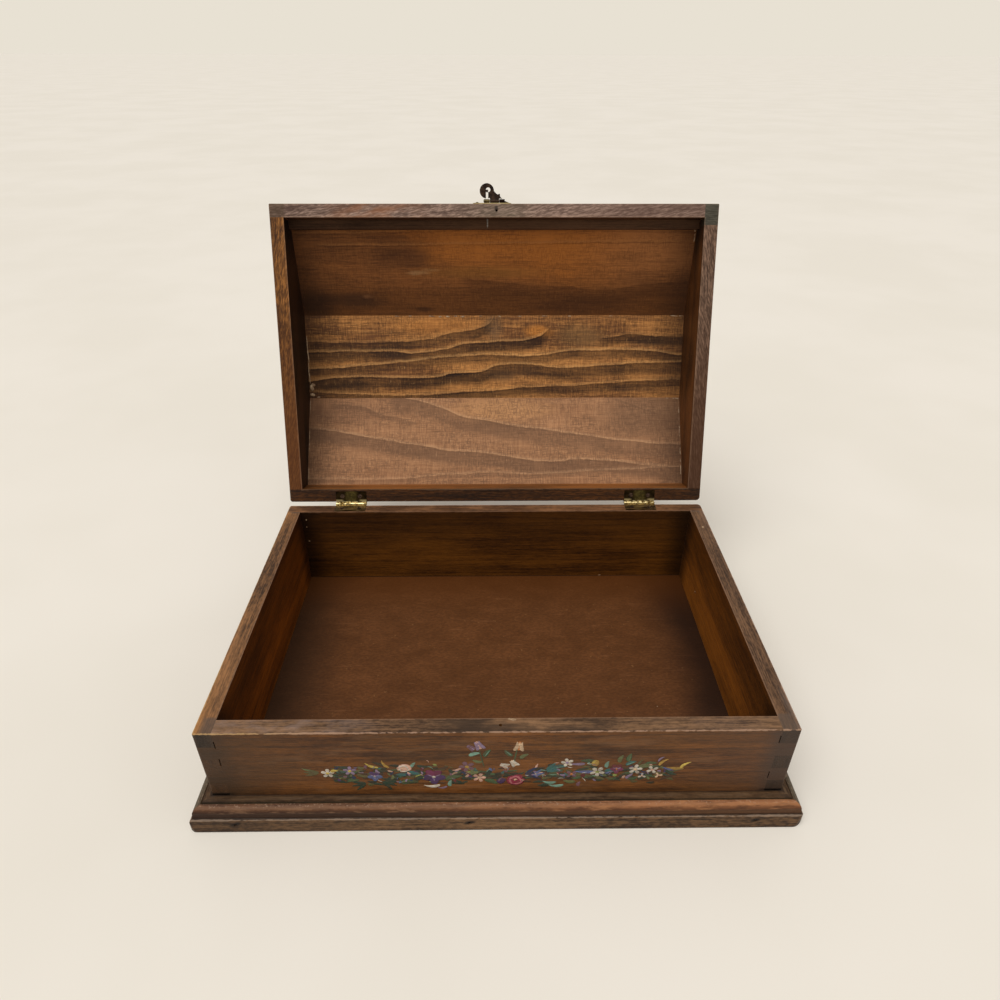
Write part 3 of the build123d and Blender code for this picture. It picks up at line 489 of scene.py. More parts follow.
lid_looks = {
    "lid_front_board": {"turn": 0.0, "shift": (6.1, 0.14, -0.03), "thick": front_thick, "lean": 0.07,
                        "rim": ((182, 152, 134), (82, 60, 50)), "inner": ((80, 48, 26), (40, 22, 11))},
    "lid_back_board": {"turn": 0.0, "shift": (8.3, -0.05, -0.16), "thick": back_thick, "lean": 0.0,
                       "rim": ((88, 50, 16), (34, 17, 4)), "inner": ((148, 90, 40), (66, 40, 19))},
    "lid_left_gable": {"turn": quarter_turn, "shift": (9.9, 0.05, -0.12),
                       "thick": gable_thick, "lean": -0.06,
                       "rim": ((170, 112, 54), (58, 31, 11)), "inner": ((60, 35, 18), (20, 12, 7))},
    "lid_right_gable": {"turn": quarter_turn, "shift": (11.3, 0.12, -0.07),
                        "thick": gable_thick, "lean": 0.06,
                        "rim": ((146, 114, 92), (56, 38, 27)), "inner": ((118, 72, 34), (58, 34, 16))},
    "lid_corner_block": {"turn": 0.0, "shift": (13.3, 0.02, -0.07), "thick": gable_thick, "lean": 0.0,
                         "rim": ((96, 90, 76), (58, 54, 44)), "inner": ((60, 52, 40), (36, 30, 22))},
}
for board, look in lid_looks.items():
    finish, tree, shader = finish_of(board + "_stain")
    shut = object_place((open_angle, 0, 0), closed_shift)
    along, deep, _ = parts(shut)
    section, outward, up, past_side, past_end = use(box_section, Place=shut)
    grain = onward(shut, (0, 0, look["turn"]), look["shift"])
    slanted = onward(shut, (0, 0, look["turn"] + look["lean"]), look["shift"])
    outer = use(stained_grain, Place=grain, **outer_look)
    inner = use(stained_grain, Place=grain, Pale=look["inner"][0], Dark=look["inner"][1],
                Ring_Gap=0.006, Ring_Depth=0.25, Streaks=0.4, Blotches=0.8, Pores=0.2)
    rim = use(stained_grain, Place=slanted, Pale=look["rim"][0], Dark=look["rim"][1],
              Ring_Gap=0.0022, Ring_Depth=0.2, Wander=0.008,
              Streaks=0.6, Blotches=0.5, Flecks=0.4, Pores=0.4)
    flecks = onward(shut, (0, 0, look["turn"] + 4 * look["lean"]), look["shift"])
    flecks = patchy(flecks, 170, 1000, 0.42, 0.6)
    rim_colour = lay(flecks, rim["Colour"], look["rim"][1], 0.7)
    # Painted shade: the gables' rims darken towards the hinge.
    if look["turn"]:
        hinge_side_shade = lay(fade(along, -0.01, 0.01), (84, 44, 14), (68, 37, 13))
        rim_colour = lay(fade(deep, -0.07, 0.07, 0.0, 0.8), rim_colour, hinge_side_shade)
    if board == "lid_front_board":
        greenish = times(fade(along, -0.03, 0.0), fade(along, 0.035, 0.012))
        rim_colour = lay(greenish, rim_colour, (92, 84, 66), 0.4)
        rim_colour = lay(fade(along, 0.01, 0.1, 0.0, 0.5), rim_colour, (92, 66, 56))
        warm = times(fade(along, -0.14, -0.1), fade(along, -0.04, -0.08))
        warm = times(warm, patchy(slanted, 50, 160))
        rim_colour = lay(warm, rim_colour, (150, 96, 60), 0.55)
        left_end = fade(along, 0.0125 - half_width, 0.0105 - half_width, 0.0, 0.6)
        rim_colour = lay(left_end, rim_colour, (78, 60, 42))
        by_pin_hole = fade(far(shut, (0.0012, -0.112, 0), (620, 420, 0)), 1.2, 0.4, 0.0, 0.8)
        rim_colour = lay(by_pin_hole, rim_colour, (26, 18, 14))
    inside = fade(outward, 0.0005 - look["thick"], 0.0001 - look["thick"])
    on_rim = fade(up, rim_shut + 0.0006, rim_shut + 0.0002)
    end_colour = lay(patchy(shut, 260, 60), (38, 27, 18), (62, 46, 33))
    on_end = fade(past_end if look["turn"] else past_side, -0.0004, -0.0001, 0.0, 0.6)
    outside = lay(on_end, outer["Colour"], end_colour)
    inside_colour = inner["Colour"]
    if look["turn"]:
        # Painted shade in the inner front corner of each gable; the inner face is also darker towards the
        # rim.
        front_corner_shade = fade(deep, -0.068, -0.098, 0.0, 0.85)
        inside_colour = lay(front_corner_shade, inside_colour, (24, 15, 9))
        near_rim = fade(up, rim_shut + 0.004, rim_shut, 0.0, 0.6)
        inside_colour = lay(near_rim, inside_colour, (30, 18, 9))
    colour = lay(inside, outside, inside_colour)
    colour = lay(on_rim, colour, rim_colour)
    colour = lay(worn((-look["thick"], 0, rim_shut), 0.001), colour, (182, 144, 112), 0.16)
    colour = lay(worn((0, 0, rim_shut), 0.001), colour, (120, 88, 58), 0.25)
    coat(colour, outer["Fibre"], 0.4)
    dress(finish, board)


# Crown planks
# Three thin boards that close the lid, left rough-sawn inside: a plain brown one to the front, a bold
# dark-ringed one on top, and a pale one to the rear that hardly took the stain. A strip backs the front.

crown_half, crown_height = 0.0345, 0.044
front_inner, back_inner, eave_height = -0.1058, 0.1049, 0.018
front_slope = math.atan2(crown_height - eave_height, -crown_half - front_inner)
rear_slope = -math.atan2(crown_height - eave_height, back_inner - crown_half)
plank_length, plank_width = 0.34, 0.08


def drawn(along, points):
    """A line across a plank: how far across it lies, in metres, at each place along."""
    line = put("FloatCurve", {"Value": calc("MULTIPLY_ADD", along, 1 / plank_length, 0.5)})
    curve = line.mapping.curves[0]
    spots = [(x / 1000 / plank_length + 0.5, y / 1000 / plank_width) for x, y in points]
    curve.points[0].location, curve.points[1].location = spots[0], spots[-1]
    for spot in spots[1:-1]:
        curve.points.new(*spot)
    line.mapping.update()
    return times(line.outputs[0], plank_width)


def within(along, start, end):
    """Where along lies between start and end, in millimetres, with soft ends."""
    begun = fade(along, start / 1000, start / 1000 + 0.012)
    return times(begun, fade(along, end / 1000, end / 1000 - 0.012))


def blot(spot, place, reach):
    """A soft patch at a place on a plank, with its reach along and across, in millimetres."""
    middle = (place[0] / 1000, place[1] / 1000, 0)
    return fade(far(spot, middle, (1000 / reach[0], 1000 / reach[1], 0)), 1.2, 0.3)


# Each ring is the line it follows, its depth, how far it fades across, its pale edge, and its two ends.
top_rings = [
    (((-162, 14.6), (-122, 14.0), (-80, 13.9)), 0.5, 1.4, 0.1, -190, -72),
    (((-157, 21.6), (-91, 21.7), (-58, 19.2), (-37, 14.4), (-24, 12.6), (-10, 9.8), (-2, 3.7)),
     0.8, 10, 0.3, -190, 4),
    (((92, 18.5), (99, 17.9), (116, 15.4), (137, 17.1), (157, 17.5)), 0.85, 10, 0.3, 84, 190),
    (((-151, 30.1), (-92, 29.6), (-64, 30.8), (-37, 26.6), (-26, 23.4), (3, 21.8), (31, 19.1),
      (45, 12.0), (50, 5.0)), 0.95, 12, 0.8, -190, 50),
    (((-157, 44.5), (-124, 42.4), (-81, 38.8), (-37, 34.2), (-15, 32.4), (16, 33.1), (42, 32.6), (53, 30.6),
      (95, 28.6), (117, 28.6), (154, 32.3)), 0.9, 9, 0.9, -190, 190),
    (((-141, 52.5), (-125, 51.2), (-49, 50.6), (-37, 47.9), (-10, 46.6), (-2, 42.7), (21, 39.9), (58, 43.7),
      (96, 41.0), (138, 39.0), (154, 39.1)), 1.0, 14, 0.8, -190, 190),
    (((-148, 64.0), (-60, 66.3), (-27, 63.7), (3, 62.0), (32, 59.9), (86, 57.3), (128, 54.3), (154, 53.9)),
     0.85, 9, 0.5, -190, 190),
]
rear_rings = [
    (((-90, 0.0), (-75, 0.6), (-58, 4.8), (-42, 10.5), (-25, 17.2), (-9, 19.4), (12, 24.1), (39, 27.5),
      (83, 34.3), (127, 39.5), (154, 41.2)), 0.75, 17, 0.9, -96, 190),
    (((-156, 26.9), (-140, 28.6), (-102, 35.4), (-58, 42.7), (-41, 46.1), (-5, 48.8), (34, 55.2),
      (55, 55.8), (66, 53.7), (88, 54.3), (127, 58.9), (148, 60.6)), 0.75, 15, 0.9, -190, 190),
    (((-156, 70.1), (-80, 70.4), (-47, 67.1), (-5, 65.6), (30, 66.6), (72, 64.6), (107, 63.0)),
     0.4, 4, 0.7, -190, 190),
    (((-140, 5.7), (-119, 6.8), (-96, 14.8), (-80, 18.2), (-69, 21.5)), 0.5, 5, 0.2, -146, -64),
    (((108, 2.6), (133, 11.0)), 0.5, 2, 0.1, 100, 142),
]
front_rings = [
    (((-150, 10.0), (-98, 9.2), (-59, 7.7), (146, 7.7)), 0.2, 1.5, 0.8, -190, 190),
    (((-140, 18.8), (-79, 18.6), (64, 16.7), (116, 16.1), (150, 16.5)), 0.3, 1.2, 0.9, -146, 154),
    (((-30, 44.0), (21, 49.5), (62, 52.0), (87, 54.5), (120, 50.4), (152, 47.1)), 0.4, 14, 0.1, -30, 190),
]
plank_looks = {
    "lid_front_plank": {
        "slope": front_slope, "start": (0, front_inner, eave_height), "rings": front_rings,
        "key": 15.2, "folds": (77.1,),
        "pale": (142, 87, 43), "dark": (92, 55, 27), "ring": (50, 26, 11), "glow": (160, 106, 58),
        "streaks": 0.75, "blotches": 0.6, "sawn": 0.2, "hatch": 0.3,
        "blots": [((-62, 40.5), (11, 2.2), 0.6, (160, 122, 82)), ((-52, 38), (7, 1.6), 0.4, (150, 112, 72)),
                  ((-72, 18), (34, 16), 0.35, (66, 36, 18)), ((-76, 30), (30, 10), 0.4, (54, 30, 16)),
                  ((-118, 63), (30, 8), 0.6, (40, 25, 16)), ((-150, 66), (20, 14), 0.7, (26, 15, 10)),
                  ((-104, 60), (6, 2), 0.5, (130, 86, 52)), ((-58, 71), (10, 2.5), 0.6, (30, 16, 10)),
                  ((70, 68), (50, 8), 0.4, (50, 26, 14)), ((-10, 40), (60, 6), 0.35, (148, 98, 42))]},
    "lid_top_plank": {
        "slope": 0.0, "start": (0, -crown_half, crown_height), "rings": top_rings,
        "key": 17.5, "folds": (-1.2, 70.2),
        "pale": (202, 139, 77), "dark": (112, 72, 43), "ring": (34, 22, 17), "glow": (222, 170, 108),
        "streaks": 0.8, "blotches": 0.8, "sawn": 0.45, "hatch": 0.45,
        "blots": [((36, 13), (14, 6), 0.7, (214, 138, 62)), ((-50, 8), (46, 8), 0.5, (204, 134, 66)),
                  ((72, 17), (24, 12), 0.5, (120, 92, 58)), ((0, 10), (9, 14), 0.5, (112, 90, 66)),
                  ((-85, 33), (16, 3.5), 0.6, (60, 42, 36)), ((7, 50), (15, 7), 0.6, (56, 48, 40)),
                  ((30, 46), (15, 5), 0.4, (62, 48, 38)), ((133, 22), (24, 5), 0.6, (58, 46, 38)),
                  ((-128, 60), (30, 6), 0.5, (66, 48, 34)), ((115, 61), (30, 4), 0.4, (66, 50, 38))]},
    "lid_rear_plank": {
        "slope": rear_slope, "start": (0, crown_half, crown_height), "rings": rear_rings,
        "key": 19.9, "folds": (-1.2,),
        "pale": (184, 134, 94), "dark": (146, 102, 70), "ring": (104, 75, 55), "glow": (208, 162, 120),
        "streaks": 0.6, "blotches": 0.4, "sawn": 0.6, "hatch": 0.6,
        "blots": [((5, 10), (50, 14), 0.5, (208, 152, 98)), ((130, 16), (50, 26), 0.5, (112, 84, 62)),
                  ((-130, 14), (40, 12), 0.4, (124, 88, 64))]},
}
for plank, look in plank_looks.items():
    finish, tree, shader = finish_of(plank + "_stain", 0.65, 0.15)
    levelling = Matrix.Rotation(-look["slope"], 3, "X")
    start = Vector(look["start"]) + Vector((0, 0, rim_shut))
    level = object_place((open_angle - look["slope"], 0, 0), levelling @ (closed_shift - start))
    along, level_across, through = parts(level)
    keyed = onward(level, (0, 0, 0), (look["key"], 0, 0))
    waves = calc("SUBTRACT", cloud(stretch(keyed, 45, 70), 3.0), 0.5)
    shiver = calc("SUBTRACT", cloud(stretch(keyed, 260, 60)), 0.5)
    across = calc("MULTIPLY_ADD", waves, 0.0028, level_across)
    across = calc("MULTIPLY_ADD", shiver, 0.0012, across)
    spot = put("CombineXYZ", {0: calc("MULTIPLY_ADD", waves, 0.014, along), 1: across}).outputs[0]
    wood = use(stained_grain, Place=keyed, Pale=look["pale"], Dark=look["dark"], Ring_Depth=0.0,
               Streaks=look["streaks"], Blotches=look["blotches"], Pores=0.6, Sawn=look["sawn"])
    colour = wood["Colour"]
    if plank == "lid_front_plank":
        bare_edge = drawn(along, ((-170, 6), (-79, 14.6), (-60, 32), (-44, 42.1), (-4, 45.4),
                                  (41, 50.3), (87, 54.5), (120, 50.4), (152, 47.1)))
        colour = lay(fade(across, 0.042, 0.062, 0.0, 0.55), colour, (74, 42, 15))
        before_edge = calc("SUBTRACT", bare_edge, across)
        bare = fade(calc("MULTIPLY_ADD", waves, 0.02, before_edge), -0.005, 0.018)
        bare_colour = lay(fade(along, 0.05, 0.13), (166, 99, 40), (160, 102, 56))
        colour = lay(bare, colour, bare_colour, fade(wood["Depth"], 0.0, 1.0, 0.95, 0.45))
    for place, reach, strength, tone in look["blots"]:
        colour = lay(blot(spot, place, reach), colour, tone, strength)
    dark_side, pale_side = 0.0, 0.0
    for points, depth, tail, pale, begin, end in look["rings"]:
        past = calc("SUBTRACT", across, drawn(along, points))
        here_only = within(along, begin, end)
        dark = times(fade(past, -0.0002, 0.0004), here_only)
        thin = fade(past, 0.0004, 0.0026, depth, depth * 0.82)
        gone = fade(past, tail * 0.0003, tail / 1000, 1.0, 0.0)
        dark = times(dark, calc("MINIMUM", thin, gone))
        dark_side = calc("MAXIMUM", dark, dark_side)
        edge = times(fade(past, -0.003, -0.0006, 0.0, pale), fade(past, 0.0, -0.0003))
        pale_side = calc("MAXIMUM", times(edge, here_only), pale_side)
    uneven = fade(patchy(keyed, 16, 40), 0.0, 1.0, 0.7, 1.0)
    colour = lay(dark_side, colour, look["ring"], uneven)
    colour = lay(pale_side, colour, look["glow"], 0.45)
    warp, weft = patchy(keyed, 150, 1200, 0.48, 0.62), patchy(keyed, 1100, 200, 0.46, 0.62)
    hatch = times(calc("MAXIMUM", weft, warp), patchy(keyed, 30, 46, 0.3, 0.55))
    scuffs = times(patchy(keyed, 900, 170, 0.6, 0.72), look["hatch"])
    colour = lay(scuffs, colour, look["glow"], 0.7)
    colour = lay(hatch, colour, look["ring"], look["hatch"])
    # Painted shade: the planks darken towards the gables, where these shade them.
    to_gable = calc("SUBTRACT", inner_x, calc("ABSOLUTE", along))
    colour = lay(fade(to_gable, 0.035, 0.0, 0.0, 0.5), colour, (50, 31, 20))
    outside = use(stained_grain, Place=keyed, **outer_look)["Colour"]
    for fold in look["folds"]:
        from_fold = calc("ABSOLUTE", calc("SUBTRACT", level_across, fold / 1000))
        rubbed_fold = fade(from_fold, 0.004, 0.0004, 0.0, 0.7)
        outside = lay(rubbed_fold, outside, (154, 104, 60), patchy(keyed, 50, 300))
        outside = lay(fade(from_fold, 0.0005, 0.0002, 0.0, 0.85), outside, (28, 17, 9))
    depth_shut = parts(object_place((open_angle, 0, 0), closed_shift))[1]
    at_eave = fade(calc("ABSOLUTE", depth_shut), half_depth - 0.006, half_depth - 0.004)
    colour = lay(calc("MAXIMUM", fade(through, 0.003, 0.004), at_eave), colour, outside)
    at_end = fade(calc("ABSOLUTE", along), half_width - 0.0004, half_width - 0.0001)
    end_grain = lay(patchy(level, 60, 700), (44, 29, 18), (86, 58, 36))
    colour = lay(at_end, colour, end_grain)
    coat(colour, calc("SUBTRACT", wood["Depth"], times(hatch, 0.5)), 0.4)
    dress(finish, plank)

finish, tree, shader = finish_of("strip_stain", 0.6, 0.1)
grain = object_place((0, 0, 0), (21.7, 0.1, 0.1))
wood = use(stained_grain, Place=grain, Pale=(92, 64, 44), Dark=(50, 32, 20),
           Ring_Gap=0.003, Ring_Depth=0.2, Streaks=0.4, Blotches=0.8, Pores=0.3)
coat(wood["Colour"], wood["Fibre"])
dress(finish, "lid_front_strip")


# Glue
# Pale glue that was squeezed out where the crown planks meet each other and the gables, and a few drops
# that fell inside the base. It set in beads and chips, each a small lump half sunk in its joint.

# Each bead is its plank, its place along and across, its length and width in millimetres, and its turn.
glue_beads = [
    ("top", -82, 0.5, 4, 0.9, 0), ("top", -71, 0.4, 3, 0.8, 0), ("top", -53, 0.6, 5, 1.0, 4),
    ("top", -46, 0.9, 3, 1.1, -6), ("top", -39.5, 0.9, 3.5, 1.3, 8), ("top", -33, 0.6, 3, 1.0, 0),
    ("top", -27, 0.9, 4, 1.4, -5), ("top", -12, 0.5, 3, 0.7, 0),
    ("top", 4, 0.8, 2.5, 0.8, 10), ("top", 21, 0.7, 4, 0.7, 0), ("top", 42, 0.5, 5, 0.7, 0),
    ("top", 63, 0.6, 3, 0.7, 0),
    ("top", 98, 0.5, 4, 0.6, 0), ("top", 151, 0.5, 7, 1.0, 6), ("top", 157, 0.7, 4, 1.3, 0),
    ("top", -158.9, 23, 12, 0.8, 90), ("top", -158.6, 33, 11, 0.9, 86), ("top", -158.8, 43, 12, 0.7, 93),
    ("top", -158.6, 52, 9, 1.0, 87), ("top", -157.3, 60, 5.4, 3.4, 70),
    ("top", -155.8, 57.5, 3.6, 2.6, 20), ("top", -157.0, 66, 4.6, 2.4, 10), ("top", -152, 68, 3, 1.0, 0),
    ("rear", 156.5, 0.8, 6, 0.9, 0), ("rear", 149, 0.6, 3, 0.7, 0), ("rear", -158.9, 8, 13, 0.5, 90),
    ("rear", -158.9, 37, 22, 0.4, 90), ("rear", -158.8, 66, 12, 0.5, 89), ("rear", 158.8, 11, 6, 0.8, 90),
    ("rear", 158.7, 19, 3, 0.6, 91), ("rear", 158.7, 30, 11, 0.6, 91), ("rear", 158.8, 47, 7, 0.8, 90),
    ("rear", 158.7, 55, 3, 0.7, 88), ("rear", 158.7, 64, 9, 0.8, 90), ("front", 158.2, 6.5, 3.6, 2.0, 80),
    ("front", 158.7, 13, 7, 0.8, 90),
]
chance = random.Random(3)


def lump(shape, at, along, across, out, size):
    """Adds one uneven lump to shape: its middle, three directions and its size in each, in metres."""
    made = bmesh.ops.create_icosphere(shape, subdivisions=2, radius=0.5)["verts"]
    for vertex in made:
        swell = chance.uniform(0.86, 1.14)
        x, y, z = vertex.co
        vertex.co = at + swell * (x * size[0] * along + y * size[1] * across + z * size[2] * out)
        for face in vertex.link_faces:
            face.smooth = True


def made_of(name, shape, finish):
    """An object at the origin made of a finished shape, with its finish."""
    mesh = bpy.data.meshes.new(name)
    shape.to_mesh(mesh)
    shape.free()
    mesh.materials.append(finish)
    made = bpy.data.objects.new(name, mesh)
    bpy.context.scene.collection.objects.link(made)
    return made


def hardened(name, shape, body):
    """Makes the lumps one piece with the glue's finish, riding on a body."""
    bmesh.ops.recalc_face_normals(shape, faces=shape.faces)
    piece = made_of(name, shape, glue_finish)
    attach(piece, body)


glue_finish, tree, shader = finish_of("set_glue", 0.4, 0.4)
cloudy = patchy(object_place(), 300, 300)
coat(lay(cloudy, (186, 158, 124), (120, 88, 60)), cloudy)

shape = bmesh.new()
opening = closing.transposed()
for plank, along, across, length, width, turn in glue_beads:
    look = plank_looks[f"lid_{plank}_plank"]
    tilt = Matrix.Rotation(look["slope"], 3, "X")
    start = Vector(look["start"]) + Vector((0, 0, rim_shut))
    shut = start + tilt @ Vector((along / 1000, across / 1000, 0))
    spin = Matrix.Rotation(math.radians(turn), 3, "Z")
    axes = (opening @ tilt @ spin).transposed()
    size = Vector((length, width, min(width, 1.2) * 0.7)) / 1000
    lump(shape, opening @ (shut - closed_shift), *axes, size)
hardened("lid_glue_beads", shape, "lid")

# Each drop is its place on the base and its size, in millimetres.
glue_drops = [
    ((-155.5, 105.6, 63.2), (1.2, 0.5, 1.4)), ((-156.2, 105.6, 56.2), (1.0, 0.5, 1.2)),
    ((-156.0, 105.6, 41.9), (1.6, 0.5, 1.2)), ((90.0, 105.4, 4.2), (2.2, 0.8, 0.8)),
    ((159.4, 59.4, 23.3), (0.5, 1.8, 1.6)), ((164.1, 82.1, 71.0), (1.8, 2.2, 0.4)),
    ((8.6, -106.6, 70.9), (4.2, 2.0, 0.6)), ((6.6, -106.2, 70.9), (2.2, 1.2, 0.6)),
    ((112.0, -40.0, 4.0), (1.1, 1.0, 0.3)),
]
shape = bmesh.new()
for spot, size in glue_drops:
    lump(shape, Vector(spot) / 1000, *Matrix.Identity(3), Vector(size) / 1000)
hardened("base_glue_drops", shape, "base")


# Hinges and latch
# Small pressed-brass butt hinges, bright at the knuckles and tarnished olive on the leaves; the latch
# has a brass plate with round-headed nails and a dark bronze hasp.

finish, tree, shader = finish_of("tarnished_brass", 0.35)
here = object_place()
along, _, up = parts(here)
hinge_middle = sum(corner.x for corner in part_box("hinge_right_pin")) / 2
sideways = calc("ABSOLUTE", calc("SUBTRACT", calc("ABSOLUTE", along), hinge_middle))
from_axis = far(here, hinge_point, (0, 1, 1))
tarnish = patchy(here, 420, 700, 0.4, 0.62)
knuckle_tone = lay(tarnish, (232, 210, 152), (88, 66, 28))
lid_leaf_tone = lay(patchy(here, 300, 300), (56, 42, 22), (32, 23, 13))
olive = fade(sideways, 0.0062, 0.0022, 0.0, 0.75)
dusty = fade(patchy(here, 500, 500), 0.0, 1.0, 0.4, 1.0)
lid_leaf_tone = lay(olive, lid_leaf_tone, (112, 98, 52), dusty)
bright_end = times(fade(from_axis, 0.0044, 0.0026), fade(sideways, 0.0055, 0.0085, 0.0, 0.7))
lid_leaf_tone = lay(bright_end, lid_leaf_tone, (214, 190, 132))
base_leaf_tone = lay(patchy(here, 70, 900, 0.42, 0.58), (58, 43, 24), (170, 146, 106))
on_lid = fade(up, hinge_point.z + 0.0008, hinge_point.z + 0.0016)
leaf_tone = lay(on_lid, base_leaf_tone, lid_leaf_tone)
colour = lay(fade(from_axis, 0.0016, 0.0026), knuckle_tone, leaf_tone)
coat(colour, Roughness=fade(tarnish, 0.0, 1.0, 0.28, 0.5), Metallic=1.0)
dress(finish, *[name for name in nodes if name.startswith("hinge_")])

finish, tree, shader = finish_of("dull_brass", 0.4)
along, deep, _ = parts(object_place((open_angle, 0, 0), closed_shift))
tarnish = patchy(object_place(), 150, 210, 0.25, 0.75)
plate_tone = lay(tarnish, (220, 200, 150), (158, 136, 90))
left_barrel = lay(tarnish, (104, 92, 60), (48, 38, 26))
barrel_tone = lay(fade(along, -0.001, 0.001), left_barrel, (30, 22, 17))
past_plate = fade(deep, -half_depth - 0.0009, -half_depth - 0.0012)
colour = lay(past_plate, plate_tone, barrel_tone)
coat(colour, Roughness=fade(tarnish, 0.0, 1.0, 0.3, 0.5), Metallic=1.0)
dress(finish, "latch_plate", "latch_pin", "latch_nails")

# Each is its finish, how fine its tarnish is, its two tones, and how metallic it looks.
plain_metals = {
    ("latch_long_nail",): ("grey_steel", 600, (150, 140, 130), (90, 80, 72), 0.8),
    ("hinge_base_screws", "hinge_lid_screws"): ("dulled_screws", 600, (104, 82, 66), (50, 36, 28), 0.9),
    ("latch_hasp",): ("dark_bronze_wax", 350, (34, 26, 22), (66, 50, 38), 0.8),
}
for pieces, (name, fine, clean, dull, metallic) in plain_metals.items():
    finish, tree, shader = finish_of(name, 0.45 if name == "dulled_screws" else 0.4)
    tarnish = patchy(object_place(), fine, fine)
    coat(lay(tarnish, clean, dull), Metallic=metallic)
    if name == "dark_bronze_wax":
        fill(shader.inputs["Roughness"], fade(tarnish, 0.0, 1.0, 0.32, 0.5))
    dress(finish, *pieces)


# Painted garland
# A band of small folk flowers, brushed on the front wall in oil colours: each leaf and petal is one thin
# raised stroke, half sunk in the wood. It is a design of its own, in the colours and scale of such work.

wall_face = front_low.y
paint_box = {
    "olive": (84, 80, 46), "leaf": (62, 82, 52), "deep_leaf": (34, 54, 40), "teal": (46, 92, 88),
    "pale_teal": (110, 146, 128), "moss": (92, 100, 62), "lime": (132, 140, 72), "yellow": (190, 164, 76),
    "gold": (164, 128, 56), "white": (190, 180, 164), "cream": (200, 170, 136), "blush": (192, 150, 130),
    "pink": (174, 98, 104), "crimson": (128, 34, 56), "magenta": (106, 40, 72), "mauve": (114, 82, 92),
    "lavender": (132, 112, 136), "violet": (66, 44, 84), "navy": (32, 44, 74), "blue": (82, 94, 134),
    "maroon": (96, 38, 40), "orange": (196, 120, 60), "bark": (66, 46, 28), "shadow": (40, 42, 28),
}
strokes = []


def dab(x, z, length, width, turn=0.0, bend=0.0, paint="leaf", rise=0.10, taper=0.35):
    """One stroke: its middle, length and width in millimetres, its turn in degrees, and how it bends."""
    strokes.append((x, z, length, width, math.radians(turn), bend, paint, rise, taper))


def away_from(x, z, turn, distance):
    return x + distance * math.cos(math.radians(turn)), z + distance * math.sin(math.radians(turn))


def leaf(x, z, size, turn, paint="leaf", vein=None):
    dab(x, z, size, size * 0.42, turn, 0.12, paint)
    if vein:
        dab(x, z, size * 0.8, size * 0.09, turn, 0.12, vein, 0.16)


def comma(x, z, size, turn, paint, bend=0.35):
    dab(x, z, size, size * 0.24, turn, bend, paint, 0.14, 0.6)


def daisy(x, z, size, petal, heart, petals=5, start=18):
    for count in range(petals):
        turn = start + count * 360 / petals
        dab(*away_from(x, z, turn, size * 0.3), size * 0.48, size * 0.32, turn, 0.0, petal, 0.14, -0.3)
    dab(x, z, size * 0.3, size * 0.28, 0, 0.0, heart, 0.24)


def pansy(x, z, size, upper, lower, heart="white"):
    for turn in (58, 122):
        dab(*away_from(x, z, turn, size * 0.27), size * 0.52, size * 0.46, turn, 0.0, upper, 0.11)
    for turn in (190, 350, 270):
        dab(*away_from(x, z, turn, size * 0.27), size * 0.5, size * 0.44, turn, 0.0, lower, 0.13)
    for turn in (150, 30, 270):
        dab(*away_from(x, z, turn, size * 0.2), size * 0.26, size * 0.07, turn, 0.0, "lavender", 0.17)
    dab(x, z, size * 0.16, size * 0.15, 0, 0.0, heart, 0.26)


def tulip(x, z, size, outer, inner, turn=90):
    dab(*away_from(x, z, turn, 0), size * 0.9, size * 0.5, turn, 0.0, inner, 0.12)
    for side in (-1, 1):
        spot = away_from(*away_from(x, z, turn, -0.05 * size), turn + 90 * side, size * 0.24)
        dab(*spot, size * 0.95, size * 0.32, turn - 8 * side, -0.22 * side, outer, 0.16)
    dab(*away_from(x, z, turn, size * 0.2), size * 0.42, size * 0.14, turn, 0.0, outer, 0.2)


def rose(x, z, size, deep, light):
    dab(x, z, size, size * 0.86, 10, 0.0, deep, 0.11, 0.0)
    for turn, distance, bend in ((20, 0.16, 0.5), (200, 0.2, 0.5), (100, 0.22, 0.45), (300, 0.12, 0.5)):
        dab(*away_from(x, z, turn + 90, size * distance), size * 0.62, size * 0.13, turn, bend, light, 0.2)
    dab(x, z, size * 0.22, size * 0.14, 30, 0.3, "cream", 0.24)


def spray(x, z, size, turn, paint, count=3, spread=26):
    """A few slim leaves or petals from one point."""
    for step in range(count):
        angle = turn + spread * (step - (count - 1) / 2)
        dab(*away_from(x, z, angle, size * 0.5), size, size * 0.26, angle, 0.15, paint, 0.12, 0.4)


spray(-104, 37, 9, 178, "olive", 3, 20)
comma(-111, 40, 6, 160, "moss")
daisy(-99, 36, 7.5, "white", "yellow")
dab(-95, 37.5, 5, 2.6, 20, 0.2, "yellow", 0.2)
daisy(-86, 38, 7.5, "lavender", "yellow")
leaf(-85, 29, 8, 8, "leaf", "moss")
leaf(-91, 32, 6, 170, "olive")
comma(-73, 43, 9, 150, "yellow")
comma(-65, 44, 8, 120, "gold")
comma(-70, 40.5, 6, 145, "olive")
pansy(-72, 33, 9, "violet", "blue", "white")
spray(-78, 27, 9, 200, "deep_leaf", 3, 30)
spray(-68, 27, 9, -20, "deep_leaf", 3, 34)
rose(-54.5, 40, 9, "blush", "white")
leaf(-49, 43, 5, 60, "pale_teal")
leaf(-56, 35, 9, 185, "teal")
leaf(-49, 35, 9, -10, "teal")
spray(-60, 29, 9, 190, "deep_leaf", 3, 26)
leaf(-52, 27, 11, 4, "leaf", "deep_leaf")
leaf(-45, 31, 8, 30, "deep_leaf")
pansy(-37.5, 32, 14, "magenta", "violet", "white")
comma(-39, 24.5, 10, 180, "white", 0.4)
comma(-33, 22.5, 6, 190, "lavender", 0.4)
leaf(-28, 26, 6, 80, "pale_teal")
leaf(-26, 31, 11, 20, "leaf", "moss")
leaf(-24, 26, 9, -12, "deep_leaf")
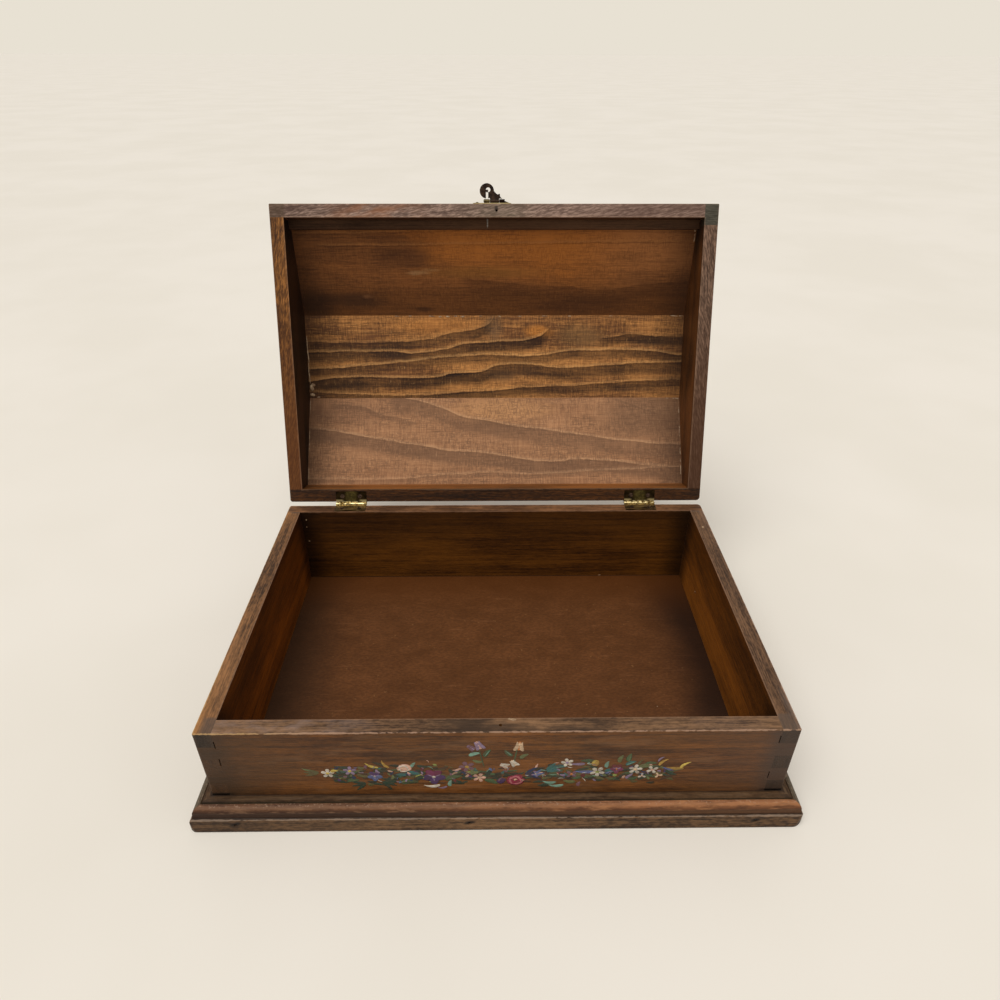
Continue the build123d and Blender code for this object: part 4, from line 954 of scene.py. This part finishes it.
leaf(-27, 37, 6, 120, "deep_leaf")
daisy(-18, 41, 9, "mauve", "gold", 5, 40)
comma(-24, 39, 6, 200, "blush")
leaf(-14, 35, 8, 12, "moss")
tulip(-11, 60, 8, "lavender", "blush", 112)
tulip(-15.5, 58, 6, "mauve", "lavender", 140)
dab(-9.5, 49, 18, 0.9, 100, 0.08, "leaf", 0.09, 0.0)
leaf(-13.5, 52, 7, 20, "pale_teal")
leaf(-6, 53, 7.5, 60, "leaf", "pale_teal")
leaf(-12, 46, 6, 160, "moss")
daisy(-11, 31, 7.5, "blush", "cream", 5, 0)
leaf(-5, 35, 9, 70, "deep_leaf")
leaf(-4, 27, 9, -30, "leaf")
tulip(12, 59, 8.5, "cream", "orange", 84)
tulip(9, 44, 6.5, "white", "cream", 120)
tulip(3.5, 42, 6, "white", "blush", 160)
dab(10, 50, 17, 0.9, 82, 0.08, "leaf", 0.09, 0.0)
leaf(6, 53, 7, 130, "leaf", "pale_teal")
leaf(15, 50, 6.5, 40, "moss")
rose(10.5, 28.5, 11.5, "crimson", "pink")
dab(2, 28, 6, 5, 30, 0.0, "violet", 0.1)
comma(1.5, 29, 5, 60, "mauve")
spray(16, 33, 10, 12, "navy", 3, 34)
spray(20, 31, 9, 40, "blue", 2, 24)
daisy(22, 34, 5.5, "lavender", "white", 4)
spray(28, 36, 10, 28, "teal", 3, 26)
leaf(36, 40, 9, 10, "teal", "pale_teal")
leaf(33, 33, 8, -5, "leaf", "pale_teal")
comma(30, 27, 9, 170, "pale_teal", 0.4)
comma(34, 24, 10, 176, "pale_teal", 0.4)
leaf(27, 24, 8, 190, "deep_leaf")
daisy(40, 44, 7, "white", "lavender", 5, 30)
comma(46, 43, 9, 180, "lavender", 0.15)
daisy(43, 33.5, 7, "mauve", "orange", 4, 45)
leaf(42, 27, 7.5, 170, "moss", "lime")
comma(51, 41, 6, 170, "olive")
comma(50, 36, 12, 178, "blue", 0.1)
dab(56.5, 43.5, 5.5, 5, 70, 0.0, "gold", 0.14)
dab(56, 44.5, 3.6, 2, 60, 0.2, "yellow", 0.2)
daisy(58, 35.5, 8.5, "white", "lime", 5, 54)
leaf(60, 29, 6, -20, "olive")
leaf(63.5, 42, 6, 80, "pale_teal")
leaf(66, 36, 9, 10, "teal")
pansy(69, 38, 8.5, "maroon", "magenta", "orange")
leaf(71, 47, 7, 75, "moss")
leaf(76, 48, 7.5, 82, "leaf", "moss")
leaf(77, 43, 7, 30, "teal", "pale_teal")
daisy(80, 37.5, 8, "white", "cream", 5, 10)
comma(83, 44, 6, 60, "olive")
leaf(86, 40, 9, 8, "moss")
daisy(90, 37, 7, "white", "blush", 4, 30)
daisy(84.5, 31.5, 5, "white", "blush", 3, 90)
daisy(94, 32, 5, "cream", "blush", 3, 0)
comma(96, 43.5, 8, 48, "gold")
comma(99, 38, 8, 160, "blue", 0.1)
comma(103, 38.5, 11, 174, "gold", 0.15)
comma(109, 41, 8, 42, "yellow", 0.3)
comma(105, 36, 6, 20, "olive", 0.3)


def face_order(face):
    """A number that is each face's own, because a new ball lists its faces in any order."""
    corners = [vertex.index for vertex in face.verts]
    return 1000 * min(corners) + sum(corners)


# Under the flowers lie dark leaves, then small loose petals; over them go fine light touches.
chance = random.Random(7)
under_leaves = 220
for count in range(under_leaves):
    x = chance.uniform(-100, 104)
    paint = chance.choice(("deep_leaf", "olive", "leaf", "shadow", "bark", "shadow", "deep_leaf"))
    turn = chance.choice((0, 180)) + chance.uniform(-26, 26)
    z, length = 34 + chance.gauss(0, 3.8), chance.uniform(4, 10)
    width, bend = chance.uniform(1.2, 3.0), chance.uniform(-0.3, 0.3)
    strokes.insert(0, (x, z, length, width, math.radians(turn), bend, paint, 0.07, 0.4))
for count in range(90):
    x = chance.uniform(-97, 100)
    paint = chance.choice(
        ("violet", "mauve", "blue", "teal", "moss", "blush", "lavender", "maroon", "lime", "navy"))
    z, length = 34.5 + chance.gauss(0, 3.4), chance.uniform(2.6, 5.6)
    width, turn = chance.uniform(1.2, 2.4), chance.uniform(0, math.pi)
    bend = chance.uniform(-0.4, 0.4)
    strokes.insert(under_leaves, (x, z, length, width, turn, bend, paint, 0.1, 0.3))
for count in range(46):
    x = chance.uniform(-98, 100)
    paint = chance.choice(("white", "pale_teal", "lavender", "moss", "blush", "blue"))
    dab(x, 35 + chance.gauss(0, 4.6), chance.uniform(2.2, 4.2), 0.5, chance.uniform(-60, 240),
        chance.uniform(-0.8, 0.8), paint, 0.2)

shape = bmesh.new()
wet_stroke = bpy.data.meshes.new("wet_stroke")
for x, z, length, width, turn, bend, paint, rise, taper in strokes:
    stroke = bmesh.new()
    paint_layer = stroke.loops.layers.float_color.new("paint")
    bmesh.ops.create_uvsphere(stroke, u_segments=8, v_segments=6, radius=1.0)
    tint = chance.uniform(0.8, 1.15)
    tone = [min(1.0, part * tint) for part in shade(*paint_box[paint])[:3]] + [1.0]
    for vertex in stroke.verts:
        across_stroke, out_of_wall, along_stroke = vertex.co
        half = width / 2 * (1 - taper * along_stroke) * across_stroke
        half += bend * width * (1 - along_stroke ** 2) * 1.6
        run = along_stroke * length / 2
        vertex.co = (
            (x + run * math.cos(turn) - half * math.sin(turn)) / 1000,
            wall_face + out_of_wall * rise / 1000,
            (z + run * math.sin(turn) + half * math.cos(turn)) / 1000,
        )
    bmesh.ops.recalc_face_normals(stroke, faces=stroke.faces)
    stroke.faces.sort(key=face_order)
    for face in stroke.faces:
        face.smooth = True
        for loop in face.loops:
            loop[paint_layer] = tone
    stroke.to_mesh(wet_stroke)
    stroke.free()
    shape.from_mesh(wet_stroke)
bpy.data.meshes.remove(wet_stroke)

finish, tree, shader = finish_of("oil_paint", 0.45, 0.3)
paint_tone = put("VertexColor", {}, layer_name="paint").outputs["Color"]
bare = patchy(object_place(), 300, 700, 0.4, 0.68)
colour = lay(bare, paint_tone, (80, 54, 33), 0.5)
coat(colour, patchy(object_place(), 300, 900), 0.3, 0.0002)
garland = made_of("painted_garland", shape, finish)
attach(garland, "base")


# Studio
# A plain pale floor, soft even light from above the front, and the camera where the photographer stood.

finish, tree, shader = finish_of("pale_floor", 0.6)
coat(lay(patchy(object_place(), 3, 3), (232, 225, 212), (236, 229, 217)))
shape = bmesh.new()
bmesh.ops.create_grid(shape, x_segments=1, y_segments=1, size=30.0)
floor = made_of("floor", shape, finish)

# The room lights the box with a warm white, and the camera sees it in the tone of the floor.
world = bpy.data.worlds.new("soft_room")
world.use_nodes = True
tree = world.node_tree
room = tree.nodes["Background"].inputs
seen = put("LightPath", {}).outputs["Is Camera Ray"]
fill(room["Color"], lay(seen, (1.0, 0.97, 0.93, 1.0), (232, 225, 211)))
fill(room["Strength"], fade(seen, 0.0, 1.0, 0.5, 1.0))
scene = bpy.context.scene
scene.world = world

sun_data = bpy.data.lights.new("soft_sun", "SUN")
sun_data.energy = 1.85
sun_data.angle = math.radians(55)
sun = bpy.data.objects.new("soft_sun", sun_data)
sun.rotation_euler = Vector((0.22, 0.38, -1)).to_track_quat("-Z", "Y").to_euler()
scene.collection.objects.link(sun)

lens_data = bpy.data.cameras.new("photo_camera")
lens_data.sensor_width = 36.0
lens_data.lens = 25.573
camera = bpy.data.objects.new("photo_camera", lens_data)
pitch, yaw, roll = math.radians(32.8156), math.radians(0.7282), math.radians(-0.1585)
ahead = Vector((math.sin(yaw) * math.cos(pitch), math.cos(yaw) * math.cos(pitch), -math.sin(pitch)))
right = Vector((math.cos(yaw), -math.sin(yaw), 0))
down = ahead.cross(right)
leaning_right = math.cos(roll) * right + math.sin(roll) * down
leaning_down = math.cos(roll) * down - math.sin(roll) * right
axes = Matrix((leaning_right, -leaning_down, -ahead)).transposed()
camera.matrix_world = Matrix.Translation((-0.00265, -0.37756, 0.39366)) @ axes.to_4x4()
scene.collection.objects.link(camera)
scene.camera = camera
scene.view_settings.view_transform = "Standard"
